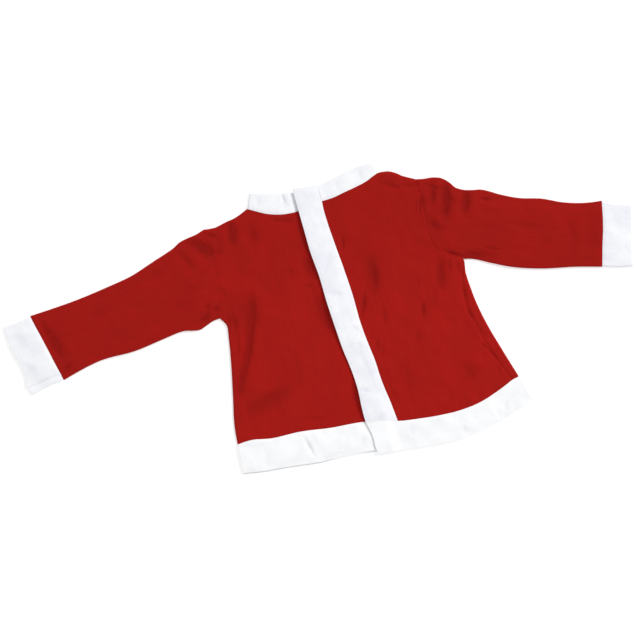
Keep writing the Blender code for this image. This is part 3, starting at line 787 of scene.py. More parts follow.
def grid_faces(rows, columns, first=0, closed=False):
    """Quads of a grid of points that is numbered row by row."""
    faces = []
    for row in range(first, first + (rows - 1) * columns, columns):
        for place in range(columns if closed else columns - 1):
            here, beside = row + place, row + (place + 1) % columns
            faces.append((here, beside, beside + columns, here + columns))
    return faces


def raised(plan, height):
    """Plan points with their heights."""
    height = np.broadcast_to(height, plan.shape[:-1])
    return np.concatenate([plan, height[..., None]], axis=-1)


def mesh_object(name, points, faces, grain):
    """An object from points in the pattern's frame, with a UV map in metres along the grain."""
    mesh = bpy.data.meshes.new(name)
    mesh.from_pydata((points - BOX_MIDDLE) * MM, [], faces)
    turn = math.radians(grain)
    across = (points[:, 0] * math.cos(turn) + points[:, 1] * math.sin(turn)) * MM
    up = (points[:, 1] * math.cos(turn) - points[:, 0] * math.sin(turn)) * MM
    corner = np.zeros(len(mesh.loops), int)
    mesh.loops.foreach_get("vertex_index", corner)
    layer = mesh.uv_layers.new(name="grain")
    layer.data.foreach_set("uv", np.column_stack([across, up])[corner].ravel())
    made = bpy.data.objects.new(name, mesh)
    bpy.context.scene.collection.objects.link(made)
    return made


def paint(piece, name, values):
    """Gives each point of a piece a value that its material can read."""
    layer = piece.data.attributes.new(name, "FLOAT", "POINT")
    layer.data.foreach_set("value", np.asarray(values, np.float32))


print("walls in mm:", THICKNESS)

# %% [markdown]
# ## Stitches
#
# Rows of thread are what makes a seam look sewn. They could be a bump in the material, but thread
# that stands on the cloth catches the light from every side, so it is worth its faces. One stitch is
# a short tube of five rings. The table says how far along it each ring is, how thick it is there, and
# how deep it sinks into the cloth. The row runs beside a seam or an edge and follows the height of
# the cloth.

# %% Thread
THREAD = 0.34
THREAD_SIDES = 6
STITCH = 2.3
STITCH_PITCH = 2.9
STITCH_RINGS = table(
    "share size sink", (0, 0.5, 0.3), (0.14, 1, 0), (0.5, 1, -0.08), (0.86, 1, 0), (1, 0.5, 0.3)
)


def stitches(line, inside, inset, ends, surface, slot):
    """Points and faces of a row of stitches beside a line, on the side where a given point lies.

    ends cuts the row's two ends off, and surface gives the height of the wall's middle."""
    line = curve(line, OUTLINE_CELLS * 2)
    line = (line + toward(line, inside) * inset)[slice(*ends)]
    run = run_along(line)
    starts = np.arange(0.5 * STITCH_PITCH, run[-1] - STITCH, STITCH_PITCH)
    at = starts[:, None] + STITCH * STITCH_RINGS["share"]
    plan = np.stack([np.interp(at, run, line[:, axis]) for axis in (0, 1)], axis=-1)
    along = plan[:, -1] - plan[:, 0]
    along /= np.linalg.norm(along, axis=1)[:, None]
    sideways = np.column_stack([-along[:, 1], along[:, 0]])
    height = surface(plan) + 0.5 * THICKNESS[slot] - STITCH_RINGS["sink"]
    turns = np.radians(np.arange(THREAD_SIDES) * 360 / THREAD_SIDES)
    radius = 0.5 * THREAD * STITCH_RINGS["size"][None, :, None]
    round_plan = plan[:, :, None] + sideways[:, None, None] * (radius * np.cos(turns))[..., None]
    points = raised(round_plan, height[..., None] + radius * np.sin(turns))
    faces, rings = [], plan.shape[1]
    for first in range(0, points[..., 0].size, rings * THREAD_SIDES):
        end = first + rings * THREAD_SIDES
        faces += grid_faces(rings, THREAD_SIDES, first, closed=True)
        faces.append(tuple(range(first, first + THREAD_SIDES))[::-1])
        faces.append(tuple(range(end - THREAD_SIDES, end)))
    return points.reshape(-1, 3), faces


print("stitches in 100 mm:", round(100 / STITCH_PITCH, 1))

# %% [markdown]
# ## From a surface to a piece of cloth
#
# The jersey is about 1 mm thick and the fleece 1.5 mm, and both show at the cut edges. Each piece is
# built as the middle surface of its wall. Its two faces could be built apart, but Solidify keeps them
# the same distance from each other on every fold. A small Bevel then rounds the cut edges, as brushed
# or knitted cloth has no hard corner. Last, the rows of thread are joined to the piece, and its
# points get two values for painted shade: how deep in a fold a point of the upper layer lies, and how
# much less light its piece got. The body's red cloth is painted darker from below its middle up to
# the neck.

# %% Cloth
EDGE_ROUND = 0.32
EDGE_ANGLE = math.radians(50)
UNDER_LAYER = 1.3
# the trough depth at which the painted crease shade is mostly reached
CREASE_SHADE_DEPTH = 2.4
# the body's painted shade starts at this height and grows to full over the run below
SHADE_START = -30.0
SHADE_RUN = 110.0
PIECES = {}


def crease_shade(plan, *tables):
    """How deep in folds or creases each point lies, from 0 towards 1; the materials paint it as shade."""
    deep = 0.0
    for rows in tables:
        troughs = {name: column[rows["height"] < 0.0] for name, column in rows.items()}
        deep = deep + (creased if "bend" in rows else swell)(plan, troughs)
    return 1.0 - np.exp(deep / CREASE_SHADE_DEPTH)


def modified(piece, kind, **settings):
    """Adds a modifier to the active piece, and applies it."""
    modifier = piece.modifiers.new("wall", kind)
    for key, value in settings.items():
        setattr(modifier, key, value)
    bpy.ops.object.modifier_apply(modifier=modifier.name)


def cloth(solid, points, faces, slot, grain=0.0, piece_shade=0.0, rows=()):
    """Makes one piece of cloth from its middle surface.

    grain is how many degrees the knit is turned from +y, and rows are its rows of thread."""
    name = solid + ("_cloth" if slot == "red_jersey" else "_band")
    piece = mesh_object(name, np.asarray(points, float).reshape(-1, 3), faces, grain)
    surface = bmesh.new()
    surface.from_mesh(piece.data)
    bmesh.ops.recalc_face_normals(surface, faces=surface.faces)
    surface.to_mesh(piece.data)
    surface.free()
    bpy.context.view_layer.objects.active = piece
    modified(
        piece, "SOLIDIFY", thickness=THICKNESS[slot] * MM, offset=0.0,
        use_even_offset=True, use_quality_normals=True,
    )
    modified(
        piece, "BEVEL", width=EDGE_ROUND * MM, segments=2, limit_method="ANGLE",
        angle_limit=EDGE_ANGLE, use_clamp_overlap=True,
    )
    for number, row in enumerate(rows):
        mesh_object(f"{name}_thread_{number}", *row, grain).select_set(True)
    if rows:
        piece.select_set(True)
        bpy.ops.object.join()
        piece.select_set(False)
    placed = np.zeros(3 * len(piece.data.vertices))
    piece.data.vertices.foreach_get("co", placed)
    placed = placed.reshape(-1, 3) / MM + BOX_MIDDLE
    # painted shade in the upper layer's creases
    tables = (FOLDS, CREASES) if slot == "red_jersey" else (BAND_CREASES,)
    paint(piece, "crease_shade", np.where(placed[:, 2] > UNDER_LAYER, crease_shade(placed[:, :2], *tables), 0.0))
    # painted shade of the piece: the body's red is darker from below its middle up to the neck
    if slot == "red_jersey" and not piece_shade:
        piece_shade = smooth_step((placed[:, 1] - SHADE_START) / SHADE_RUN)
    paint(piece, "piece_shade", np.broadcast_to(piece_shade, len(placed)))
    piece.data.shade_smooth()
    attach(piece, "root")
    PIECES[solid] = piece
    print(name, "faces:", len(piece.data.polygons))


# %% [markdown]
# ## The two fronts
#
# The right front runs on under the placket, and the left front starts at the placket's seam. They
# could be one panel with the placket laid on it, but a real front is open, so each is a piece of its
# own and keeps its own edge. At the shoulders and the right side the front's edge turns down over the
# back's edge, as the seam pulls it, so from the side the jacket looks closed.

# %% Fronts
ARMHOLE_ROWS = 12
SIDE_ROWS = 16
BODY_ROWS = ARMHOLE_ROWS + SIDE_ROWS
SHOULDER_COLUMNS = 6
NECK_COLUMNS = 11
FRONT_COLUMNS = SHOULDER_COLUMNS + NECK_COLUMNS
PLACKET_COLUMNS = 4
WRAP_COLUMNS = 2
TURN_RUN = 2.6
TURN_END = 1.15
STITCH_INSET = 2.4
# a point on the side of each seam where the thread runs
FRONT_INSIDE = {"right": (-50.0, 0.0), "left": (50.0, 0.0)}
NECK = {side: drawn(f"neck_{side}", NECK_COLUMNS) for side in ("right", "left")}
# from the front end, under the placket, along the left front, and over the side's rolled edge
LEFT_HEM = joined(
    curve(LINES["hem_left"][:3], PLACKET_COLUMNS),
    curve(LINES["hem_left"][2:-1], FRONT_COLUMNS),
    curve(LINES["hem_left"][-2:], WRAP_COLUMNS),
)


def turned_down(plan, height, *names):
    """The height with the cloth's edge rounded down to the layer below beside the named lines."""
    distance = np.min([near(plan, drawn(name, OUTLINE_CELLS * 3))[0] for name in names], axis=0)
    left = np.clip(1.0 - distance / TURN_RUN, 0.0, 1.0)
    return height - (height - TURN_END) * (1.0 - np.sqrt(1.0 - left**2))


def body_side(armhole, side):
    """The line down a body panel: its armhole, then its side."""
    return joined(drawn(armhole, ARMHOLE_ROWS), drawn(side, SIDE_ROWS))


def make_front(side, side_line, hem, edge_name, lap, layer, seams, turned, stitched):
    """One front. layer gives its height.

    stitched has the lines with a row of thread, and where each row starts and ends."""
    top = joined(drawn(f"shoulder_{side}", SHOULDER_COLUMNS), NECK[side])
    edge = placket_line(edge_name, top[-1, 1], hem[-1, 1], BODY_ROWS) + (lap, 0.0)
    edge[0], edge[-1] = top[-1], hem[-1]
    plan = patch(top, hem, body_side(f"armhole_{side}", side_line), edge)
    plan = fine(pulled_in(plan), places(BODY_ROWS), places(FRONT_COLUMNS))

    def middle(plan):
        return layer(plan) + seam_relief(plan, seams)

    inside = FRONT_INSIDE[side]
    rows = [stitches(line, inside, STITCH_INSET, ends, middle, "red_jersey") for line, ends in stitched]
    points = raised(plan, turned_down(plan, middle(plan), *turned))
    cloth(f"front_{side}", points, grid_faces(*plan.shape[:2]), "red_jersey", rows=rows)


make_front(
    "right", "side_right", drawn("hem_right", FRONT_COLUMNS), "free_edge", LAP_WIDTH, under_lap,
    "armhole_right neck_right hem_right shoulder_right", ("side_right", "shoulder_right"),
    [(LINES["neck_right"], (2, -13))],
)
make_front(
    "left", "side_seam_left", LEFT_HEM[PLACKET_COLUMNS:-WRAP_COLUMNS][::-1], "sewn_edge", 0.0, over_lap,
    "armhole_left neck_left hem_left side_seam_left placket shoulder_left", ("shoulder_left",),
    [(LINES["neck_left"], (3, -2)), (LINES["armhole_left"][:-1], (3, -2))],
)

# %% [markdown]
# ## Folds at an edge
#
# Where one piece of cloth runs on from the under layer to the top one, it turns over in a round fold.
# It could be a Bevel on a sharp edge, but its width would be the same everywhere, and a fold is as
# thick as the jacket is at that place. So it is a half circle of points, which starts on the surface
# and ends at the top layer's height. The back, the sleeves, the cuffs and the collar all fold in this
# way.

# %% A fold
ROLL_CELLS = 10


def rolled(edge, inner, thickness, high):
    """Points round a fold at a plan line's end, from the under layer up to a height."""
    low = 0.5 * thickness
    radius = 0.5 * (high - low)
    inward = (inner - edge) / np.linalg.norm(inner - edge)
    centre = edge + inward * (radius + 0.5 * thickness)
    points = []
    for angle in np.radians(np.linspace(-90.0, 90.0, ROLL_CELLS + 1)):
        plan = centre - inward * radius * math.cos(angle)
        points.append((plan[0], plan[1], low + radius * (1.0 + math.sin(angle))))
    return points


print("points round a fold:", ROLL_CELLS + 1)

# %% [markdown]
# ## The back
#
# The back lies flat on the surface. Below the left underarm the jacket has rolled a little to the
# front, so a strip of the back comes round the edge, up to the side seam. The strip could be a piece
# of its own, but cloth that runs on has no gap, so both parts are one mesh. The flat panel moves in
# to meet the fold, over its last BACK_GIVE columns. At the underarm, the last row before the strip
# moves down to the strip, and the strip's own first row laps up over it.

# %% Back
BACK_STEPS = 4
BACK_COLUMNS = 38
BACK_GIVE = 10.0
WRAP_START = 6
WRAP_STEPS = 5
WRAP_INSET = 0.5
WRAP_INSET_ROWS = 9
SNIP = 0.5
SNIP_POWER = 10
STRIP_MIDDLE = 0.3
STRIP_FULL = 4.0
STRIP_STEP = 0.5
STRIP_LAP = 0.65
STRIP_RISE = 1.0
BACK_HEM = joined(curve(LINES["hem_right"][:-1], FRONT_COLUMNS), LEFT_HEM)


def back_plan():
    """The back's flat grid from shoulders and neck to the hem."""
    neck = joined(NECK["right"][:-1], NECK["left"][::-1])
    shoulder_left = curve(LINES["shoulder_left"][::-1], SHOULDER_COLUMNS)
    top = joined(drawn("shoulder_right", SHOULDER_COLUMNS), neck, shoulder_left)
    sides = body_side("armhole_right", "side_right"), body_side("armhole_left", "side_left")
    coarse = patch(evenly(top, BACK_COLUMNS), evenly(BACK_HEM, BACK_COLUMNS), *sides)
    lines = [places(cells, False, False, BACK_STEPS) for cells in (BODY_ROWS, BACK_COLUMNS)]
    return fine(pulled_in(coarse), *lines)


def strip_row(edge, inner):
    """One row of the strip: round the fold, then over the front's layer to the side seam."""
    high = top_height(edge + STRIP_MIDDLE * (inner - edge))
    roll = rolled(edge, inner, CLOTH, high)
    start = np.array(roll[-1][:2])
    share = np.linspace(0.0, 1.0, WRAP_COLUMNS * WRAP_STEPS + 1)[1:]
    over = start + share[:, None] * (inner - start)
    height = top_height(over) + seam_relief(over, "side_seam_left hem_left")
    wide = smooth_step(np.linalg.norm(inner - start) / STRIP_FULL)
    height = high + (height - high) * smooth_step(share / STRIP_STEP) * wide
    return np.concatenate([roll, raised(over, height)])


def make_back():
    plan = back_plan()
    columns, armhole_rows = plan.shape[1], ARMHOLE_ROWS * BACK_STEPS
    seam_line = drawn("side_seam_left", SIDE_ROWS * BACK_STEPS)
    seam_line[-1] = LEFT_HEM[-1 - WRAP_COLUMNS]
    wrapped = armhole_rows + WRAP_START
    plan[wrapped - 1] += SNIP * (plan[wrapped] - plan[wrapped - 1])
    strip, moves = [], np.zeros((len(plan), 2))
    for row in range(wrapped, len(plan)):
        edge, inner = plan[row, -1], seam_line[row - armhole_rows] + (0.5 * SEAM, 0.0)
        inset = WRAP_INSET * (1.0 - smooth_step((row - wrapped) / WRAP_INSET_ROWS))
        points = strip_row(edge + inset * (inner - edge) / np.linalg.norm(inner - edge), inner)
        strip.append(points[1:])
        moves[row] = points[0, :2] - edge
    for row in range(armhole_rows, wrapped):
        moves[row] = moves[wrapped] * ((row - armhole_rows) / WRAP_START) ** SNIP_POWER
    give = np.clip(1.0 - np.arange(columns)[::-1] / BACK_GIVE, 0.0, 1.0)
    plan = plan + moves[:, None] * give[None, :, None]
    strip = np.array(strip)
    risen = smooth_step((strip[0, :, 2] - 0.5 * CLOTH) / STRIP_RISE)
    strip[0] += STRIP_LAP * risen[:, None] * (strip[0] - strip[1])
    first = len(plan) * columns
    faces = grid_faces(*plan.shape[:2]) + grid_faces(*strip.shape[:2], first)
    for row in range(len(strip) - 1):
        edge = (wrapped + row) * columns + columns - 1
        start = first + row * strip.shape[1]
        faces.append((edge, start, start + strip.shape[1], edge + columns))
    points = np.concatenate([raised(plan, 0.5 * CLOTH).reshape(-1, 3), strip.reshape(-1, 3)])
    cloth("back", points, faces, "red_jersey")


make_back()

# %% [markdown]
# ## Sleeves
#
# A sleeve is a tube that is pressed flat: an upper layer, a fold along each side and an under layer
# on the surface. A cylinder could be squashed, but its faces would not follow the two outlines of the
# sleeve. So each ring of points runs once round it, and all the rings are joined as a closed grid.
# The half cell at each side is left to the fold. The knit's grain runs along the sleeve.

# %% Tubes
UNDER_STEP = 3
FOLD_CELL = 0.5
ALMOST_NOTHING = 1e-6
SLEEVE_ROWS = 22
SLEEVE_GRAIN = {"right": -82.0, "left": 70.0}


def tube(solid, first_line, last_line, rows, row_places, middle, slot, grain, piece_shade, thread=()):
    """A flattened tube between two end lines. Its folds are the lines upper and lower."""
    kind, side = solid.split("_")
    folds = [drawn(f"{kind}_{layer}_{side}", rows) for layer in ("upper", "lower")]
    coarse = patch(first_line, last_line, *folds)
    coarse = pulled_in(coarse, "first_row last_row" if slot == "red_jersey" else "first_row")
    cells, thickness = coarse.shape[1] - 1, THICKNESS[slot]
    inner = np.arange(FOLD_CELL, cells - FOLD_CELL + ALMOST_NOTHING, 1.0 / CELL_STEPS)
    whole = fine(coarse, row_places, np.concatenate([[0.0], inner, [cells]]))
    rings = []
    for line, heights in zip(whole, middle(whole[:, 1:-1])):
        upper = raised(line[1:-1], heights)[1:-1]
        under = raised(line[1:-1][::UNDER_STEP], 0.5 * thickness)[::-1][1:-1]
        first = rolled(line[0], line[1], thickness, heights[0])
        last = rolled(line[-1], line[-2], thickness, heights[-1])
        rings.append(np.concatenate([first, upper, last[::-1], under]))
    rings = np.array(rings)
    cloth(solid, rings, grid_faces(*rings.shape[:2], closed=True), slot, grain, piece_shade, thread)


def make_sleeve(side):
    head = drawn(f"armhole_{side}", ARMHOLE_ROWS)
    head[-1] = LINES[f"sleeve_lower_{side}"][0]

    def middle(plan):
        return top_height(plan) + seam_relief(plan, f"armhole_{side} cuff_{side}")

    wrist = drawn(f"cuff_{side}", ARMHOLE_ROWS)
    tube(
        f"sleeve_{side}", head, wrist, SLEEVE_ROWS, places(SLEEVE_ROWS), middle,
        # the 1.0 is the sleeve's painted shade, in full
        "red_jersey", SLEEVE_GRAIN[side], 1.0,
    )


print("rows of cells along a sleeve:", SLEEVE_ROWS)

# %% [markdown]
# ## Cuffs
#
# A cuff is a shorter tube of fleece, a little fuller in its middle. It could be the sleeve's end with
# another colour, but a sewn band has a seam, a thicker wall and a fold of its own. The right cuff was
# laid down with a slight twist, so its under layer comes out below the upper one, and a lip with a
# groove under it runs along its lower side. A row of thread holds the turned edge of each band.

# %% Sleeves and cuffs
CUFF_ROWS = 4
CUFF_WIDTH = 24.0
CUFF_FULLNESS = 0.45
# painted shade of each cuff
CUFF_SHADE = {"right": 0.6, "left": 0.8}
CUFF_THREAD_END = {"right": -2, "left": None}
BAND_INSET = 5.0
LIP_DROP = 0.75
LIP_RUN = 0.9
GROOVE = 0.65
GROOVE_PLACE = 0.5
GROOVE_WIDTH = 0.6


def arch(share):
    """0 at both ends of a width, 1 in its middle."""
    return 4.0 * share * (1.0 - share)


def lip(plan):
    """How far the right cuff's top comes down past the lip, and the groove under the lip."""
    line = drawn("cuff_lip", OUTLINE_CELLS)
    past = np.interp(-plan[..., 0], -line[:, 0], line[:, 1]) - plan[..., 1]
    groove = np.exp(-(((near(plan, line)[0] - GROOVE_PLACE) / GROOVE_WIDTH) ** 2))
    return -LIP_DROP * smooth_step(past / LIP_RUN) - GROOVE * groove


def make_cuff(side):
    seam_name = f"cuff_{side}"

    def middle(plan):
        share = near(plan, SEAMS[seam_name][0])[0] / CUFF_WIDTH
        fullness = CUFF_FULLNESS * np.clip(arch(share), 0.0, 1.0)
        height = top_height(plan) + seam_relief(plan, seam_name) + fullness
        return height + lip(plan) if side == "right" else height

    line, inside = LINES[f"cuff_edge_{side}"], LINES[seam_name][1]
    thread = stitches(line[: CUFF_THREAD_END[side]], inside, BAND_INSET, (3, -3), middle, "white_fleece")
    tube(
        seam_name, drawn(seam_name, ARMHOLE_ROWS), curve(line, ARMHOLE_ROWS), CUFF_ROWS,
        places(CUFF_ROWS, True, False), middle, "white_fleece", SLEEVE_GRAIN[side], CUFF_SHADE[side],
        [thread],
    )


for side in ("right", "left"):
    make_sleeve(side)
    make_cuff(side)

# %% [markdown]
# ## The collar
#
# The collar is one band round the neck. Its two front halves lie on the fronts, and it folds back at
# the shoulders and runs on behind, on the surface. Three bands would be easier to place, but a real
# collar has no joint at the shoulders. So each row of points runs from the left front end, round
# behind the neck, to the right front end. The right end dips a little, just before the placket that
# lies over it.

# %% Collar
COLLAR_ROWS = 3
COLLAR_FULLNESS = 0.4
# painted shade of the collar
COLLAR_SHADE = 0.5
COLLAR_DIP = 0.5
COLLAR_DIP_RUN = 5.0
COLLAR_DIP_BEFORE = 1.0
CROWN_SHOULDER = 0.7


def band_middle(plan, layer, seam_name, edge, fullness, sewn=1.0):
    """The middle of a white band's wall: its layer, seam and creases, fuller between its edges."""
    height = layer(plan) + seam_relief(plan, seam_name) * sewn + creased(plan, BAND_CREASES)
    first, second = near(plan, SEAMS[seam_name][0])[0], near(plan, edge)[0]
    return height + fullness * arch(first / np.maximum(first + second, ALMOST_NOTHING)) ** CROWN_SHOULDER


def make_collar():
    rows = places(COLLAR_ROWS, True, False)
    inner = np.arange(FOLD_CELL, NECK_COLUMNS + ALMOST_NOTHING, 1.0 / CELL_STEPS)
    columns = np.concatenate([[0.0], inner])
    halves, heights = [], []
    for side, layer in (("right", under_lap), ("left", over_lap)):
        edge = drawn(f"collar_edge_{side}", NECK_COLUMNS)
        plan = pulled_in(band(NECK[side], edge, COLLAR_ROWS), "first_row")
        if side == "left":
            plan = pulled_in(plan, "last_column", NAP_SEAM)
        plan = fine(plan, rows, columns)
        halves.append(plan)
        heights.append(band_middle(plan, layer, f"neck_{side}", edge, COLLAR_FULLNESS))
    past = past_free_edge(halves[0]) + COLLAR_DIP_BEFORE
    heights[0] -= COLLAR_DIP * smooth_step(1.0 + past / COLLAR_DIP_RUN)
    rings = []
    for right, left, right_high, left_high in zip(*halves, *heights):
        left_front = raised(left[1:], left_high[1:])[::-1]
        left_fold = rolled(left[0], left[1], TRIM, left_high[1])[::-1]
        behind = joined(left[1:-1][::UNDER_STEP], right[1:-1][::-UNDER_STEP])
        behind = raised(behind, 0.5 * TRIM)[1:-1]
        right_fold = rolled(right[0], right[1], TRIM, right_high[1])
        right_front = raised(right[1:], right_high[1:])
        rings.append(np.concatenate([left_front[:-1], left_fold, behind, right_fold, right_front[1:]]))
    rings = np.array(rings)
    cloth("collar", rings, grid_faces(*rings.shape[:2]), "white_fleece", piece_shade=COLLAR_SHADE)


make_collar()

# %% [markdown]
# ## The placket
#
# The placket is the white band down the front. It covers the fronts' edges, and lies over the
# collar's end too. It could lie as flat as a ribbon, but a worn band lifts a little along its free
# side, which is what throws the dark line beside it, so four long, low rises are added there. Its
# seam shows only beside red cloth: where it meets the collar and the hem, the nap hides it.

# %% Placket
PLACKET_LIFT = table("level length height", (92, 44, 1.2), (44, 62, 1.4), (-24, 56, 2.1), (-110, 40, 1.5))
PLACKET_FULLNESS = 0.35
PLACKET_INSET = 2.8
NECK_END = 92.0
NAP_FADE = 8.0


def make_placket():
    neck_end, collar_end = LINES["neck_left"][-1], LINES["collar_edge_left"][-1]
    bottom = LEFT_HEM[: PLACKET_COLUMNS + 1]
    sewn = placket_line("sewn_edge", neck_end[1], bottom[-1, 1], BODY_ROWS)
    sewn[0], sewn[-1] = neck_end, bottom[-1]
    sewn = joined(np.linspace(collar_end, neck_end, COLLAR_ROWS + 1), sewn)
    free = placket_line("free_edge", PLACKET["level"][0], bottom[0, 1], len(sewn) - 1)
    free[-1] = bottom[0]
    top = np.linspace(free[0], sewn[0], PLACKET_COLUMNS + 1)
    coarse = pulled_in(patch(top, bottom, free, sewn), "last_column")
    coarse = pulled_in(coarse, "last_row", NAP_SEAM)
    plan = fine(coarse, places(len(coarse) - 1), places(PLACKET_COLUMNS))

    def middle(plan):
        first, last = (placket_edge(plan[..., 1], name) for name in ("free_edge", "sewn_edge"))
        share = np.clip((last - plan[..., 0]) / (last - first), 0.0, 1.0)
        beside_red = smooth_step((NECK_END - plan[..., 1]) / NAP_FADE)
        above_hem = smooth_step(near(plan, SEAMS["hem_left"][0])[0] / NAP_FADE)
        height = over_lap(plan) + seam_relief(plan, "placket") * beside_red + creased(plan, BAND_CREASES)
        height += PLACKET_FULLNESS * arch(share) ** CROWN_SHOULDER * above_hem
        for level, length, lift in zip(*PLACKET_LIFT.values()):
            along = (plan[..., 1] - level) / (0.5 * length)
            height += lift * np.exp(-(along**4)) * smooth_step(share)
        return height

    inside = 0.5 * (free + sewn)[len(free) // 2]
    rows = [
        stitches(edge, inside, PLACKET_INSET, (2, -2), middle, "white_fleece") for edge in (free, sewn)
    ]
    points = raised(plan, middle(plan))
    # the placket's painted shade is full
    cloth("placket", points, grid_faces(*plan.shape[:2]), "white_fleece", piece_shade=1.0, rows=rows)


make_placket()

# %% [markdown]
# ## The hem
#
# The hem is one length of band on each panel. One strip all round would be quicker, but a jacket that
# opens has two ends in front. The left front's length starts at the placket's foot and laps over the
# right front's. The back's length lies on the surface and peeps out below them.

# %% Hem
HEM_ROWS = 4
BACK_HEM_ROWS = 2
HEM_FULLNESS = 0.45
NAP_COLUMNS = 30
PLACKET_FOOT = 13.0
PEEP = 1.3
PEEP_POINTS = 4


def hem_band(solid, plan, middle, edge, seam_line, ends):
    """A front's length of hem, with its row of thread."""
    inside = seam_line[len(seam_line) // 2]
    rows = [stitches(edge, inside, BAND_INSET, ends, middle, "white_fleece")]
    cloth(solid, raised(plan, middle(plan)), grid_faces(*plan.shape[:2]), "white_fleece", rows=rows)


def make_right_hem():
    seam_line, edge = drawn("hem_right", FRONT_COLUMNS), drawn("hem_edge_right", FRONT_COLUMNS)
    coarse = pulled_in(band(seam_line, edge, HEM_ROWS), "first_row")
    plan = fine(coarse, places(HEM_ROWS), places(FRONT_COLUMNS, True, False))

    def middle(plan):
        return band_middle(plan, under_lap, "hem_right", edge, HEM_FULLNESS)

    hem_band("hem_front_right", plan, middle, edge, seam_line, (2, -6))


def make_left_hem():
    edge = drawn("hem_edge_left", len(LEFT_HEM) - 1)
    side_end = np.linspace(LEFT_HEM[-1], edge[-1], HEM_ROWS + 1)
    coarse = pulled_in(patch(LEFT_HEM, edge, drawn("hem_meeting", HEM_ROWS), side_end), "first_row")
    plan = fine(coarse, places(HEM_ROWS), places(coarse.shape[1] - 1))
    plan[0, :NAP_COLUMNS, 1] -= 0.5 * NAP_SEAM

    def middle(plan):
        beside_red = smooth_step((plan[..., 0] - PLACKET_FOOT) / NAP_FADE)
        return band_middle(plan, over_lap, "hem_left", edge, HEM_FULLNESS, beside_red)

    hem_band("hem_front_left", plan, middle, edge, LEFT_HEM, (2, -2))


def make_back_hem():
    edge = np.array(LINES["hem_edge_right"][:-2] + LINES["hem_edge_left"][1:])
    edge[:PEEP_POINTS, 1] -= PEEP
    coarse = band(BACK_HEM, curve(edge, len(BACK_HEM) - 1), BACK_HEM_ROWS)
    coarse = pulled_in(coarse, "first_row")
    columns = places(coarse.shape[1] - 1, False, False)
    plan = fine(coarse, places(BACK_HEM_ROWS, True, False), columns)
    cloth("hem_back", raised(plan, 0.5 * TRIM), grid_faces(*plan.shape[:2]), "white_fleece")


make_right_hem()
make_left_hem()
make_back_hem()

# %% [markdown]
# ## Nodes in short
#
# A material is a tree of nodes, and most of a tree is setting sockets and linking them. It could be
# written out line by line, but what it makes would be hard to see. These helpers do both with one
# call: a value that is another node's output is linked, and a plain one is set. A value that is the
# same all over goes straight on the shader's own socket.

# %% Material helpers
FIBRE_SHARE = 0.35


def new_material(name):
    """A new material, its node tree and its shader."""
    material = bpy.data.materials.new(name)
    material.use_nodes = True
    tree = material.node_tree
    return material, tree, tree.nodes["Principled BSDF"]


def put(tree, node, values):
    """Sets a node's sockets to plain values, or links other nodes' outputs to them."""
    for key, value in values.items():
        if isinstance(value, bpy.types.NodeSocket):
            tree.links.new(value, node.inputs[key])
        else:
            node.inputs[key].default_value = value


def add(tree, kind, values, **settings):
    """A new node with its settings and the values of its sockets."""
    node = tree.nodes.new("ShaderNode" + kind)
    for key, value in settings.items():
        setattr(node, key, value)
    put(tree, node, values)
    return node


def sums(tree, operation, *values):
    """The result of a Math node."""
    return add(tree, "Math", dict(enumerate(values)), operation=operation).outputs[0]


def noise(tree, vector, scale, detail, roughness=0.5):
    values = {"Vector": vector, "Scale": scale, "Detail": detail, "Roughness": roughness}
    return add(tree, "TexNoise", values).outputs["Fac"]


def painted(tree, name):
    """A value that was painted on the piece's points."""
    return add(tree, "Attribute", {}, attribute_name=name).outputs["Fac"]


def bumps(tree, fibres, form, strength, distance):
    """A normal that is roughened by a form and by the finer fibres on it."""
    height = sums(tree, "MULTIPLY_ADD", fibres, FIBRE_SHARE, form)
    values = {"Height": height, "Strength": strength, "Distance": distance}
    return add(tree, "Bump", values).outputs[0]


print("pieces that wait for a material:", len(PIECES))

# %% [markdown]
# ## Red jersey
#
# Jersey is a weft knit: its face shows columns of small V-shaped stitches. A flat red would look like
# plastic, and real stitches would be millions of faces, so the material makes the V from the UV map's
# two directions, and uses it as fine bump and as a slight darkening between the columns. Wider,
# fainter streaks run with the grain, because yarn is never quite even, and a cloudy unevenness stands
# for wear. Painted shade darkens the creases, and the pieces that lay in less light. Red cotton is
# matt, so roughness is high and the gloss is turned well down.

# %% Jersey
WALE = 0.00095
COURSE = 0.00080
SLANT = 0.55
STREAKS = (420.0, 26.0, 1.0)
JERSEY_RED = (0.375, 0.0080, 0.0053, 1.0)
FUZZ_RED = (0.9, 0.16, 0.12, 1.0)


def hump(tree, value):
    """Rounded like a yarn: 0 where the value is 0 or 1, and 1 halfway."""
    centred = sums(tree, "ABSOLUTE", sums(tree, "MULTIPLY_ADD", value, 2.0, -1.0))
    return sums(tree, "SUBTRACT", 1.0, sums(tree, "POWER", centred, 2.0))


